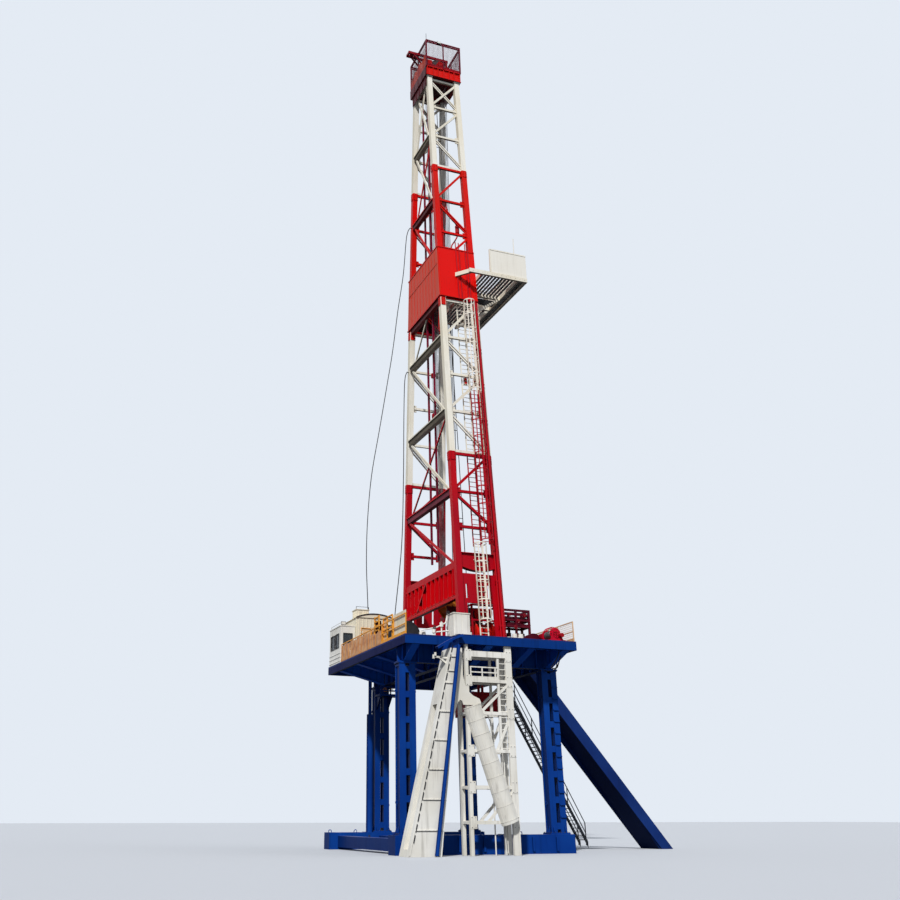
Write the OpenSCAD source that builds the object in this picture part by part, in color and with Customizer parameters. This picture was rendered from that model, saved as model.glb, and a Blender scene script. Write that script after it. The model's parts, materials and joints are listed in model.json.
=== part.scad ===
// Oil drilling rig with a braced mast on a raised drill floor, at half of full size.
// +X is the open pipe-handling side of the mast, +Y the side of the dog house, and Z is up from the ground.

/* [Placing] */
// Well centre from the middle of the footprint, along X
well_x = -1870; // [-3000:10:0]
// Well centre from the middle of the footprint, along Y
well_y = 530; // [-500:10:1500]

/* [Drill floor] */
// Height of the top of the drill floor
floor_z = 5250; // [4500:10:6000]
// Thickness of the deck plate
deck_t = 40; // [20:5:60]
// Well centre to the back edge of the floor
floor_back = 2950; // [2800:10:3400]
// Well centre to the front edge of the floor
floor_front = 1950; // [1900:10:2400]
// Well centre to the far edge of the floor
floor_far = 3150; // [3000:10:3600]
// Well centre to the near edge of the rear part of the floor
floor_near = 3650; // [3500:10:3900]
// How far the front part of the floor stands out past the rear part
floor_wing = 400; // [200:10:600]
// Well centre back to the step between the two parts of the floor
wing_back = 1500; // [1300:10:1900]
// Depth of the edge beams
edge_h = 200; // [150:10:260]
// Width of the edge beams
edge_w = 90; // [60:5:120]
// Radius of the opening in the rotary table
table_bore_r = 240; // [150:5:300]
// Half width of the well opening in the floor
well_half = 450; // [400:10:600]

/* [Substructure] */
// Well centre to the middle of each side frame
frame_y = 2750; // [2400:10:2800]
// Well centre back to the near rear column
near_rear_x = 2600; // [2400:5:2700]
// Well centre back to the far rear column
far_rear_x = 1300; // [1200:5:1700]
// Well centre forward to the front columns
front_col_x = 1680; // [1300:5:1700]
// Width of a column over its two chords
col_w = 470; // [400:10:560]
// Width of one column chord
chord_w = 180; // [140:5:200]
// Depth of a column across the frame
col_d = 300; // [240:10:360]
// Height of the ground boxes
base_h = 450; // [350:10:600]
// Width of the ground boxes
base_w = 500; // [420:10:600]
// How far a ground box runs past its outer columns
base_over = 400; // [200:10:600]
// Depth of the girders under the floor
girder_h = 560; // [450:10:650]
// Width of a girder's flanges
girder_w = 200; // [150:10:260]
// Thickness of webs and flanges
plate_t = 24; // [16:2:30]
// Depth of a cantilever bracket at its tip
tip_h = 200; // [150:10:260]

/* [Mast] */
// Distance between the leg centres across the foot of the mast
mast_w0 = 4440; // [4200:10:4600]
// Distance between the leg centres across the top of the mast
mast_w1 = 1310; // [1100:5:1500]
// Distance between the leg centres front to back at the foot
mast_d0 = 1270; // [1150:10:1400]
// Distance between the leg centres front to back at the top
mast_d1 = 1148; // [1050:2:1250]
// Height of the mast above the floor
mast_h = 22040; // [21000:10:24000]
// Width of a mast leg
leg_w = 190; // [140:5:220]
// Width of a bracing member
brace_w = 80; // [60:5:110]
// Width of each bar of a twin brace
twin_w = 44; // [30:2:60]
// Distance between the bars of a twin brace
twin_gap = 120; // [90:5:160]
// Depth of a back girt
girt_h = 210; // [150:10:280]
// Width of a slender tie
tie_w = 60; // [36:2:80]
// Height of the first colour change above the floor
band_1 = 6000; // [5500:10:6500]
// Height of the second colour change above the floor
band_2 = 11700; // [11200:10:12200]
// Height of the third colour change above the floor
band_3 = 17550; // [17000:10:18000]
// Height of the top of the racking windwall above the floor
windwall_top = 13820; // [13500:10:14400]
// Thickness of the windwall sheet
sheet_t = 24; // [16:2:40]

/* [Monkey board] */
// Height of the monkey board above the floor
board_up = 12640; // [12500:10:13000]
// How far the monkey board reaches out from the front legs
board_reach = 1750; // [1500:10:2000]
// Half of the monkey board's width
board_half = 1900; // [1700:10:2000]
// Half width of the walkway between the finger racks
board_slot = 420; // [360:10:500]
// Number of fingers on each side
finger_n = 9; // [5:1:12]

/* [Crown] */
// Depth of the crown beams
crown_beam = 440; // [300:10:480]
// How far the crown platform stands out past the legs
crown_over = 170; // [120:10:260]
// Height of the crown guard rail
crown_rail = 1320; // [1200:10:1400]
// Height of the sheave frame above the crown platform
sheave_frame = 620; // [520:10:760]
// Outer radius of a crown sheave
sheave_r = 330; // [260:5:380]
// Number of crown sheaves
sheave_n = 6; // [4:1:7]
// Length of the gin pole past the well centre
gin_reach = 1200; // [1000:10:1500]
// Height of the gin pole beams above the crown platform
gin_up = 1080; // [1000:10:1150]

/* [Travelling block] */
// Height of the bottom of the hook above the floor
hook_up = 800; // [600:10:1000]
// Height of the hook from its bottom to the block
hook_h = 480; // [400:10:560]
// Height of the travelling block
block_h = 560; // [480:10:640]
// Width of the travelling block
block_w = 560; // [460:10:640]
// Diameter of a drilling line
line_d = 24; // [18:1:30]

/* [Houses] */
// Length of the dog house along the back edge
dog_l = 1280; // [1200:10:1350]
// Width of the dog house
dog_w = 1250; // [1100:10:1300]
// Height of the dog house wall
dog_h = 1400; // [1300:10:1500]
// Thickness of the walls of both houses
wall_t = 40; // [30:2:60]
// Width of the dog house doorway
door_w = 380; // [350:5:450]
// Height of the dog house doorway
door_h = 1020; // [900:5:1060]
// Length of the driller's cabin along the back edge
cab_l = 1130; // [1050:10:1200]
// Width of the driller's cabin
cab_w = 480; // [440:10:500]
// Height of the driller's cabin
cab_h = 1130; // [1050:10:1200]

/* [Access] */
// Height of the guard rails
rail_h = 550; // [500:10:600]
// Width of the guard rail tubes
rail_d = 24; // [20:1:40]
// Width of a ladder
ladder_w = 250; // [200:10:300]
// Radius of the cage round a ladder
cage_r = 185; // [160:5:220]
// Slope of the pipe ramp, in degrees
ramp_slope = 52; // [45:1:56]
// Half width of the pipe ramp
ramp_half = 550; // [450:10:650]
// Width of the stairs
stair_w = 450; // [400:10:550]

/* [Hidden] */

seat = 0.3;
shoe_h = 60;
cap_h = 40;
foot_z = floor_z;
near_edge = -(floor_near + floor_wing);
girder_top = floor_z - deck_t;
girder_bottom = girder_top - girder_h;
base_back = near_rear_x + base_over;
base_front = front_col_x + base_over;
col_foot = base_h;

cab_x0 = -floor_back + 10;
cab_y0 = floor_far - cab_l - 70;
dog_x0 = cab_x0 + cab_w + 10;
dog_y0 = cab_y0 + cab_l - dog_l;
door_x0 = dog_x0 + 180;
door_z0 = floor_z + seat + wall_t;
door_gap = 8;
hinge_x = door_x0 + door_gap / 2;
hinge_y = dog_y0 - 14;

red = [0.80, 0.08, 0.07];
deep_red = [0.55, 0.05, 0.07];
white = [0.92, 0.89, 0.83];
blue = [0.07, 0.22, 0.55];
navy = [0.04, 0.10, 0.30];
yellow = [0.93, 0.62, 0.15];
tan_mesh = [0.78, 0.62, 0.48];
grey = [0.30, 0.31, 0.33];
steel = [0.45, 0.46, 0.48];

// Levels of the side truss joints above the floor, foot to top
side_levels = [0, 1390, 2385, 3570, 4705, band_1, 7450, 8800, 10200, band_2, 13130, 14560,
    15985, band_3, 19035, 20495, mast_h - 60];
top_level = len(side_levels) - 1;
portal_levels = 3;
// First bay from the foot whose falling brace is a twin bar
twin_from = 5;
lap = brace_w / 2 + 4;
bearing_y = 480;
cross_x = 450;
board_bar = 90;
groove_r = sheave_r - 30;

// A straight box bar between two points, w wide and h deep
module bar(a, b, w, h) {
    d = b - a;
    length = norm(d);
    translate(a)
        rotate([0, acos(d[2] / length), atan2(d[1], d[0])])
            translate([-h / 2, -w / 2, 0])
                cube([h, w, length]);
}

// A nearly upright box bar between two points, its sides square to X and Y
module post_bar(a, b, w) {
    d = b - a;
    length = norm(d);
    translate(a)
        rotate([-asin(d[1] / length), atan2(d[0], d[2]), 0])
            translate([-w / 2, -w / 2, 0])
                cube([w, w, length]);
}

// A round tube or rod between two points, with few sides
module rod(a, b, d, sides = 8) {
    v = b - a;
    length = norm(v);
    translate(a)
        rotate([0, acos(v[2] / length), atan2(v[1], v[0])])
            cylinder(h = length, d = d, $fn = sides);
}

// A box given by its low and high corners
module block(low, high) {
    translate(low) cube(high - low);
}

// Everything stands on the well centre, which is moved to its place in the footprint
module place() {
    translate([well_x, well_y, 0]) children();
}

// Half width and half depth of the mast at a height above the floor
function half_w(up) = (mast_w0 + (mast_w1 - mast_w0) * up / mast_h) / 2;
function half_d(up) = (mast_d0 + (mast_d1 - mast_d0) * up / mast_h) / 2;
// Half of a leg's width as the lean of the mast shows it in a level cut
lean_w = atan((mast_w0 - mast_w1) / 2 / mast_h);
leg_half = leg_w / 2 / cos(lean_w);
// Centre of a leg: sx is 1 on the front and -1 on the back, sy is 1 on the far and -1 on the near side
function leg(sx, sy, up) = [sx * half_d(up), sy * half_w(up), foot_z + up];

// An upright wide-flange girder along X or Y, from a to b at the level of its top
module girder_x(x0, x1, y, top, h, w) {
    block([x0, y - w / 2, top - plate_t], [x1, y + w / 2, top]);
    block([x0, y - w / 2, top - h], [x1, y + w / 2, top - h + plate_t]);
    block([x0, y - plate_t / 2, top - h], [x1, y + plate_t / 2, top]);
}

module girder_y(y0, y1, x, top, h, w) {
    block([x - w / 2, y0, top - plate_t], [x + w / 2, y1, top]);
    block([x - w / 2, y0, top - h], [x + w / 2, y1, top - h + plate_t]);
    block([x - plate_t / 2, y0, top - h], [x + plate_t / 2, y1, top]);
}

// A closed box column of two chords with battens, standing at x, y
module column(x, y, top) {
    batten_n = 7;
    gap = col_w - 2 * chord_w;
    web = 60;
    for (s = [-1, 1])
        translate([x + s * (col_w - chord_w) / 2, y, col_foot])
            difference() {
                translate([-chord_w / 2, -col_d / 2, 0]) cube([chord_w, col_d, top - col_foot]);
                for (side = [-1, 1])
                    translate([side * chord_w / 2 - 30, -col_d / 2 + plate_t, 120]) cube([60, col_d - 2 * plate_t, top - col_foot - 240]);
            }
    for (i = [0 : batten_n - 1]) {
        z = col_foot + 120 + i * (top - col_foot - 400) / (batten_n - 1);
        for (s = [-1, 1])
            translate([x - gap / 2 - 10, y + s * (col_d / 2 - web / 2 - 6) - web / 2, z]) cube([gap + 20, web, 160]);
    }
    block([x - col_w / 2 - 60, y - col_d / 2 - 60, col_foot + seat], [x + col_w / 2 + 60, y + col_d / 2 + 60, col_foot + 40]);
    block([x - col_w / 2 - 30, y - col_d / 2 - 20, top - 40], [x + col_w / 2 + 30, y + col_d / 2 + 20, top - seat]);
}

// Level stiffeners on the outer faces of a chord
module column_ribs(x, y) {
    pitch = 300;
    for (z = [col_foot + 400 : pitch : girder_bottom - 300])
        for (s = [-1, 1])
            translate([x - chord_w / 2 + 10, y + s * (col_d / 2 + 14) - 20, z]) cube([chord_w - 20, 40, 30]);
}

module base_boxes() {
    rib = 60;
    color(blue)
    place()
    for (s = [-1, 1]) {
        block([-base_back, s * frame_y - base_w / 2, 0], [base_front, s * frame_y + base_w / 2, base_h]);
        for (x = [-base_back + 300 : 700 : base_front - 200])
            translate([x, s * (frame_y + base_w / 2 + 15) - 25, rib]) cube([rib, 50, base_h - 2 * rib]);
    }
}

module base_spreaders() {
    inner = frame_y - base_w / 2;
    color(blue)
    place()
    for (x = [-near_rear_x, -far_rear_x, front_col_x])
        block([x - 130, -inner, 60], [x + 130, inner, base_h - 90]);
}

module rear_columns() {
    color(blue)
    place() {
        column(-near_rear_x, -frame_y, girder_bottom);
        column(-far_rear_x, frame_y, girder_bottom);
    }
}

module front_columns() {
    color(blue)
    place()
    for (s = [-1, 1]) {
        column(front_col_x, s * frame_y, girder_bottom);
        column_ribs(front_col_x + (col_w - chord_w) / 2, s * frame_y);
    }
}

module side_girders() {
    front = floor_front - edge_w - seat;
    color(blue)
    place() {
        girder_x(-near_rear_x - col_w / 2, front, -frame_y, girder_top, girder_h, girder_w);
        girder_x(-far_rear_x - col_w / 2, front, frame_y, girder_top, girder_h, girder_w);
    }
}

// Cross girders between the side girders, under the legs of the mast and at both ends
module cross_girders() {
    inner = frame_y - girder_w / 2;
    color(blue)
    place()
    for (x = [-far_rear_x, -mast_d0 / 2, mast_d0 / 2, front_col_x])
        girder_y(-inner, inner, x, girder_top, girder_h, girder_w);
}

// A tapered bracket along X: deep at x0, shallow at x1
module bracket_x(x0, x1, y) {
    low = girder_top - tip_h;
    side_cut(y, plate_t) polygon([[x0, girder_top], [x1, girder_top], [x1, low], [x0, girder_bottom]]);
    side_cut(y, girder_w) polygon([[x0, girder_bottom], [x1, low], [x1, low + plate_t], [x0, girder_bottom + plate_t]]);
    block([min(x0, x1), y - girder_w / 2, girder_top - plate_t], [max(x0, x1), y + girder_w / 2, girder_top]);
}

// A piece t thick about y, from its outline in X and Z
module side_cut(y, t) {
    translate([0, y + t / 2, 0])
        rotate([90, 0, 0])
            linear_extrude(t)
                children();
}

// A tapered bracket along Y: deep at y0, shallow at y1
module bracket_y(y0, y1, x) {
    translate([x, 0, 0])
        rotate([0, 0, 90])
            bracket_x(y0, y1, 0);
}

// Brackets that carry the floor past the side girders and past the rear girder
module floor_cantilevers() {
    inner = -frame_y - girder_w / 2 - seat;
    far = frame_y + girder_w / 2 + seat;
    start = -far_rear_x - girder_w / 2 - seat;
    color(blue)
    place() {
        for (y = [-1150, 500, 2150])
            bracket_x(start - seat, -floor_back + edge_w + seat, y);
        for (x = [-near_rear_x, -far_rear_x - 300])
            bracket_y(inner, -floor_near + edge_w + seat, x);
        for (x = [-mast_d0 / 2, mast_d0 / 2, front_col_x])
            bracket_y(inner, near_edge + edge_w + seat, x);
        for (x = [-far_rear_x, mast_d0 / 2, front_col_x])
            bracket_y(far, floor_far - edge_w - seat, x);
    }
}

// Channel beams round the edge of the floor
module edge_beams() {
    top = floor_z - deck_t;
    low = top - edge_h;
    color(blue)
    place() {
        block([-floor_back, -floor_near, low], [-wing_back - edge_w - seat, -floor_near + edge_w, top]);
        block([-floor_back, -floor_near + edge_w + seat, low], [-floor_back + edge_w, floor_far - edge_w - seat, top]);
        block([-wing_back - edge_w, near_edge + edge_w + seat, low], [-wing_back, -floor_near + edge_w, top]);
        block([-wing_back - edge_w, near_edge, low], [floor_front, near_edge + edge_w, top]);
        block([floor_front - edge_w, near_edge + edge_w + seat, low], [floor_front, floor_far - edge_w - seat, top]);
        block([-floor_back, floor_far - edge_w, low], [floor_front, floor_far, top]);
    }
}

module drill_floor() {
    color(navy)
    place()
    difference() {
        translate([0, 0, floor_z - deck_t])
            linear_extrude(deck_t)
                polygon([[-floor_back, -floor_near], [-wing_back - edge_w, -floor_near], [-wing_back - edge_w, near_edge],
                    [floor_front, near_edge], [floor_front, floor_far], [-floor_back, floor_far]]);
        block([-well_half, -well_half, floor_z - 2 * deck_t], [well_half, well_half, floor_z + deck_t]);
    }
}

module rotary_table() {
    table_h = 260;
    color(deep_red)
    place()
    difference() {
        union() {
            block([-well_half + seat, -well_half + seat, floor_z - deck_t - table_h],
                [well_half - seat, well_half - seat, floor_z + 20]);
            translate([0, 0, floor_z + 20]) cylinder(h = 40, r = well_half - 60, $fn = 64);
        }
        translate([0, 0, floor_z - deck_t - table_h - 10]) cylinder(h = table_h + deck_t + 100, r = table_bore_r, $fn = 64);
    }
}

// The sloping slide for pipes, from the front edge of the floor to the ground
module pipe_ramp() {
    top_x = floor_front + 500;
    curb = 90;
    run = (floor_z - 60) / tan(ramp_slope);
    color(navy)
    place() {
        for (s = [-1, 1])
            translate([0, s * (ramp_half - 40) + 40, 0])
                rotate([90, 0, 0])
                    linear_extrude(80)
                        polygon([[floor_front + seat, floor_z - 420], [floor_front + seat, floor_z],
                            [top_x, floor_z], [top_x + run + 330, 0], [top_x + run - 60, 0], [top_x - 110, floor_z - 420]]);
        translate([0, ramp_half - 60, 0])
            rotate([90, 0, 0])
                linear_extrude(2 * ramp_half - 120)
                    polygon([[floor_front + seat, floor_z - 110], [floor_front + seat, floor_z - 60],
                        [top_x - 30, floor_z - 60], [top_x + run - 30, 0], [top_x + run - 100, 0], [top_x - 80, floor_z - 110]]);
    }
}

// Stairs from the floor down to the ground, between two stringers
module stair_flight(x0, z0, x1, z1, y, w) {
    step_n = round(abs(z0 - z1) / 110);
    deep = 170;
    for (s = [0, 1])
        translate([0, y + s * w + 12, 0])
            rotate([90, 0, 0])
                linear_extrude(24)
                    polygon([[x0, z0], [x1, z1], [x1, z1 - deep], [x0, z0 - deep]]);
    for (i = [1 : step_n - 1])
        translate([x0 + (x1 - x0) * i / step_n - 60, y + 12 + seat, z0 + (z1 - z0) * i / step_n - 80])
            cube([120, w - 24 - 2 * seat, 16]);
    for (s = [0, 1])
        stair_rail([x0 + 60, y + s * w, z0], [x1 - 60, y + s * w, z1], (z0 - z1) / (x1 - x0));
}

// Posts and a sloping hand rail on a stringer
module stair_rail(a, b, fall) {
    post_n = 5;
    for (i = [0 : post_n]) {
        p = a + (b - a) * i / post_n;
        translate([p[0] - rail_d / 2, p[1] - rail_d / 2, p[2] - 110]) cube([rail_d, rail_d, rail_h + 60]);
    }
    translate([0, a[1] + rail_d / 2, 0])
        rotate([90, 0, 0])
            linear_extrude(rail_d)
                for (up = [rail_h / 2, rail_h])
                    polygon([[a[0] - 12, a[2] + up - 40], [b[0] + 12, b[2] + up - 40], [b[0] + 12, b[2] + up - 80], [a[0] - 12, a[2] + up - 80]]);
}

module ground_stairs() {
    foot = front_col_x + 3120;
    color(grey)
    place()
        stair_flight(floor_front + seat, floor_z - 20, foot, 190, ramp_half + 350, stair_w);
}

// A braced frame of two flat sides joined by cross bars
module stair_tower() {
    x0 = -1400;
    x1 = -90;
    y0 = near_edge + 60;
    y1 = y0 + 560;
    post = 90;
    wide = 45;
    top = floor_z - deck_t - 390;
    levels = [700, 1500, 2350, 3260, 4060, top - 120];
    color(white)
    place() {
        for (y = [y0, y1 - post]) {
            for (x = [[x0, x0 + post], [x1 - post - wide, x1 + wide]])
                block([x[0], y, 0], [x[1], y + post, y == y0 ? girder_top - edge_h - seat : top]);
            block([x1 - 380, y + 20, levels[2]], [x1 - 320, y + post - 20, levels[5] + 20]);
            for (z = levels)
                block([x0, y, z], [x1, y + post, z + (y == y0 && z == levels[5] ? 150 : 80)]);
            for (i = [0, 2, 3]) {
                foot_x = i == 3 ? -1010 : i == 2 ? -560 : x0 + 500;
                bar([x1 - post / 2, y + post / 2, levels[i + 1]], [foot_x, y + post / 2, levels[i] + 40], 60, 60);
            }
        }
        for (z = levels)
            for (x = [x0, x1 - post])
                block([x + 10, y0 + post + seat, z + 10], [x + post - 10, y1 - post - seat, z + 70]);
        tower_ladder(x1 - 330, x1 - 80, y0 + 20, levels[2] + 100, levels[5]);
        tower_deck(x0, x1, y0, y1, post, levels[4] + 80);
    }
}

// Rungs between the inner post and the front post of the tower
module tower_ladder(x0, x1, y, z0, z1) {
    pitch = 150;
    for (z = [z0 : pitch : z1])
        block([x0 - 10, y + 15, z], [x1 + 10, y + 35, z + 20]);
}

// The small deck of the tower with its rail along the near side
module tower_deck(x0, x1, y0, y1, post, z) {
    rail = 30;
    top = 320;
    block([x0 + post + seat, y0 + post + seat, z - 40], [x1 - post - seat, y1 - post - seat, z]);
    for (x = [x0 + 150, x0 + 480, x1 - 450])
        block([x, y0 + 20, z - 10], [x + rail, y0 + 20 + rail, z + top]);
    for (h = [top / 2, top - rail])
        block([x0 + 150, y0 + 20, z + h], [x1 - 360, y0 + 20 + rail, z + h + rail]);
}

module leaning_chute() {
    top = floor_z - deck_t - edge_h - seat;
    y0 = near_edge - 60;
    left_slope = 0.251;
    right_slope = 0.125;
    left_x = -3090;
    right_x = -2230;
    top_depth = 540;
    foot_depth = 640;
    open_top = 3480;
    strip = 12;
    color(white)
    place() {
        difference() {
            intersection() {
                translate([0, y0 + foot_depth, 0])
                    rotate([90, 0, 0])
                        linear_extrude(foot_depth)
                            polygon([[left_x, 0], [right_x, 0], [right_x + right_slope * top, top], [left_x + left_slope * top, top]]);
                rotate([90, 0, 90])
                    translate([0, 0, left_x])
                        linear_extrude(2000)
                            polygon([[y0, 0], [y0 + foot_depth, 0], [y0 + top_depth, top], [y0, top]]);
            }
            // The open panel low in the side that faces back
            translate([0, y0 + 440, 0])
                rotate([90, 0, 0])
                    linear_extrude(300)
                        polygon([[left_x - 50, 160], [left_x + left_slope * open_top - 50, open_top],
                            [left_x + left_slope * open_top + 260, open_top], [left_x + 260, 160]]);
        }
        for (z = [560, 1240, 1920, 2600, 3280, 3979, 4279, 4640]) {
            a = left_x + left_slope * z;
            b = right_x + right_slope * z;
            block([a + 20, y0 - strip, z], [b - 5, y0 + 10, z + 28]);
        }
        // The hanger on the corner of the floor
        block([-1690, y0 + 40, top - 100], [-wing_back - edge_w - seat, y0 + 120, top + 170]);
        translate([0, y0 + 10, 0])
            rotate([90, 0, 0])
                linear_extrude(10 + strip)
                    polygon([[left_x + 6, 30], [left_x + 46, 30], [left_x + 46 + left_slope * (top - 60), top - 30],
                        [left_x + 6 + left_slope * (top - 60), top - 30]]);
    }
}

module chute_hood() {
    t = 30;
    y0 = near_edge + 60 - t - seat;
    lean = 19;
    trough_r = 235;
    trough_len = 2900;
    color(white)
    place() {
        translate([0, y0 + t, 0])
            rotate([90, 0, 0])
                linear_extrude(t)
                    polygon([[-1590, 4900], [-1490, 4900], [-1489, 4226], [-1440, 3990], [-1358, 3829], [-1220, 3715],
                        [-1040, 3643], [-1000, 3560], [-1000, 3480], [-1500, 3480], [-1530, 3570], [-1590, 3600],
                        [-1650, 3540], [-1740, 3300], [-1830, 2960], [-1850, 2840]]);
        // The open trough under the plate: a half tube
        translate([-1270, y0 + t - seat, 3470])
            rotate([0, 180 - lean, 0])
                difference() {
                    cylinder(h = trough_len, r = trough_r, $fn = 40);
                    translate([0, 0, -10]) cylinder(h = trough_len + 20, r = trough_r - 24, $fn = 40);
                    translate([-400, 0, -10]) cube([800, 400, trough_len + 20]);
                }
    }
}

module flow_pipe() {
    r = 50;
    y = near_edge - 60 - 12 - r - seat;
    color(blue)
    place()
        rod([-1650, y, 4940], [-2390, y, 20], 2 * r, 16);
}

module service_platform() {
    x0 = -1536;
    x1 = -784;
    y1 = frame_y - col_d / 2 - seat;
    y0 = y1 - 420;
    z = 4340;
    drum_r = 103;
    stand = [-1705, 2610];
    stand_h = 3360;
    color(blue)
    place() {
        block([x0, y0, z], [x1, y1, z + 60]);
        // Brackets on the near face of the column
        for (x = [-1500, -1130])
            translate([x, 0, 0])
                rotate([90, 0, 90])
                    linear_extrude(40)
                        polygon([[y1, z - 380], [y1, z + 10], [y0 + 60, z + 10], [y0 + 60, z - 40]]);
        for (x = [x0 + 20, x1 - 60])
            block([x, y0 + 10, z + 50], [x + 30, y0 + 40, z + 290]);
        for (up = [150, 260])
            block([x0 + 20, y0 + 10, z + up], [x1 - 30, y0 + 40, z + up + 30]);
        translate([x0 + 200, y0 + 180, z + 50]) cylinder(h = 220, r = drum_r, $fn = 32);
        // The upright cylinder beside the column and the pipe from it up to the deck
        translate([stand[0], stand[1], base_h + seat]) cylinder(h = stand_h, r = drum_r, $fn = 32);
        translate([stand[0], stand[1], base_h + stand_h - 10]) cylinder(h = girder_top - base_h - stand_h + 10 - seat, r = 55, $fn = 24);
    }
}

module hung_tank() {
    x0 = 380;
    x1 = 1330;
    top = girder_bottom - 420;
    deep = 620;
    rib = 40;
    color(deep_red)
    place() {
        block([x0, -700, top - deep], [x1, 700, top]);
        for (x = [x0 + 150 : 220 : x1 - 100])
            block([x, -700 - rib / 2, top - deep + 40], [x + rib, 700 + rib / 2, top - 40]);
        for (x = [mast_d0 / 2 - 90, mast_d0 / 2 + 30])
            for (y = [-640, 580])
                block([x, y, top - 10], [x + 60, y + 60, girder_bottom - seat]);
    }
}

module drawworks() {
    x0 = -2350;
    x1 = -1350;
    half = 900;
    guard = 170;
    axis_x = (x0 + x1) / 2 + 60;
    axis_z = floor_z + 470;
    color(grey)
    place() {
        block([x0, -half, floor_z + seat], [x1, half, floor_z + 110]);
        // Guards at both ends, rounded over the drum's shaft
        for (y = [-half, half - guard]) {
            translate([axis_x, y, axis_z]) rotate([-90, 0, 0]) cylinder(h = guard, r = 400, $fn = 64);
            block([axis_x - 400, y, floor_z + 100], [axis_x + 400, y + guard, axis_z]);
        }
        translate([axis_x, -half + 10, axis_z]) rotate([-90, 0, 0]) cylinder(h = 2 * half - 20, r = 210, $fn = 48);
        for (y = [-half + guard + 60, -70, half - guard - 110])
            translate([axis_x, y, axis_z]) rotate([-90, 0, 0]) cylinder(h = 50, r = 330, $fn = 64);
        // The motor behind the drum
        translate([x0 + 200, -420, floor_z + 280]) rotate([-90, 0, 0]) cylinder(h = 840, r = 165, $fn = 48);
        block([x0 + 60, -360, floor_z + 100], [x0 + 340, 360, floor_z + 200]);
        block([x0 + 110, -200, floor_z + 400], [x0 + 290, 200, floor_z + 520]);
    }
}

module equipment_rack() {
    x0 = 800;
    x1 = 1730;
    y0 = -1930;
    y1 = -1400;
    post = 60;
    h = 1220;
    levels = [700, 880, 1040, h - post];
    box_x = [980, 1330];
    box_y = [-3150, -2850];
    box_h = 230;
    color(deep_red)
    place() {
        for (y = [y0, y1 - post]) {
            for (x = [x0, (x0 + x1 - post) / 2, x1 - post])
                block([x, y, floor_z + seat], [x + post, y + post, floor_z + h]);
            for (up = levels)
                block([x0, y, floor_z + up], [x1, y + post, floor_z + up + post]);
        }
        for (up = levels)
            for (x = [x0, x1 - post])
                block([x, y0 + post + seat, floor_z + up], [x + post, y1 - post - seat, floor_z + up + post]);
        // Bottles stowed under the rack
        for (x = [x0 + 150, x0 + 330, x0 + 600, x0 + 780])
            translate([x, (y0 + y1) / 2, floor_z + seat]) cylinder(h = 560, r = 70, $fn = 24);
        // The chest with a rounded lid in front
        block([box_x[0], box_y[0], floor_z + seat], [box_x[1], box_y[1], floor_z + box_h]);
        translate([0, 0, floor_z + box_h - 5])
            side_cut((box_y[0] + box_y[1]) / 2, box_y[1] - box_y[0] - 10)
                polygon([[box_x[0] + 10, 0], [box_x[1] - 10, 0], [box_x[1] - 50, 60], [box_x[1] - 120, 90],
                    [box_x[0] + 120, 90], [box_x[0] + 50, 60]]);
    }
}

module floor_winch() {
    x = 1500;
    y = -3500;
    drum_r = 105;
    flange_r = 165;
    axis_z = floor_z + 235;
    color(red)
    place() {
        block([x - 260, y - 330, floor_z + seat], [x + 260, y + 330, floor_z + 60]);
        for (s = [-1, 1]) {
            translate([x, y + s * 290 + 20, 0])
                rotate([90, 0, 0])
                    linear_extrude(40)
                        polygon([[-200, floor_z + 50], [200, floor_z + 50], [80, axis_z + 80], [-80, axis_z + 80]]);
            translate([x, y + s * 225 - 15, axis_z]) rotate([-90, 0, 0]) cylinder(h = 30, r = flange_r, $fn = 48);
        }
        translate([x, y - 280, axis_z]) rotate([-90, 0, 0]) cylinder(h = 560, r = drum_r, $fn = 48);
        translate([x, y + 300, axis_z]) rotate([-90, 0, 0]) cylinder(h = 150, r = 90, $fn = 32);
    }
}

module white_cabinet() {
    x0 = -1500;
    y0 = -3560;
    w = 480;
    depth = 440;
    h = 640;
    color(white)
    place() {
        block([x0 + 20, y0 + 20, floor_z + seat], [x0 + w - 20, y0 + depth - 20, floor_z + 60]);
        block([x0, y0, floor_z + 50], [x0 + w, y0 + depth, floor_z + h]);
        block([x0 - 15, y0 - 15, floor_z + h - 10], [x0 + w + 15, y0 + depth + 15, floor_z + h + 20]);
        for (i = [0, 1])
            block([x0 + 20 + i * (w / 2 - 5), y0 - 10, floor_z + 80], [x0 + w / 2 - 15 + i * (w / 2 - 5), y0 + 10, floor_z + h - 40]);
    }
}

// One straight run of guard rail along X or Y with its infill sheet
module rail_run(a, b) {
    d = b - a;
    length = norm(d);
    bays = max(1, round(length / 900));
    for (i = [0 : bays])
        translate(a + d * i / bays) translate([-rail_d / 2, -rail_d / 2, 0]) cube([rail_d, rail_d, rail_h]);
    for (z = [rail_h / 2, rail_h - rail_d / 2])
        bar(a + [0, 0, z], b + [0, 0, z], rail_d, rail_d);
}

module rear_railing() {
    x = -floor_back + 40;
    y = -floor_near + 40;
    z = floor_z + seat;
    color(yellow)
    place() {
        rail_run([x, y, z], [x, cab_y0 - 60, z]);
    }
}

module front_railing() {
    color(tan_mesh)
    place() {
        rail_run([floor_front - 40, near_edge + 40, floor_z + seat], [floor_front - 40, -ramp_half - 100, floor_z + seat]);
        rail_run([floor_front - 40, ramp_half + 900, floor_z + seat], [floor_front - 40, floor_far - 40, floor_z + seat]);
    }
}

module floor_windwall() {
    color(white)
    place()
        block([-floor_back + 70, -3500, floor_z + seat], [-floor_back + 70 + sheet_t, -2610, floor_z + 650]);
}

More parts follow.
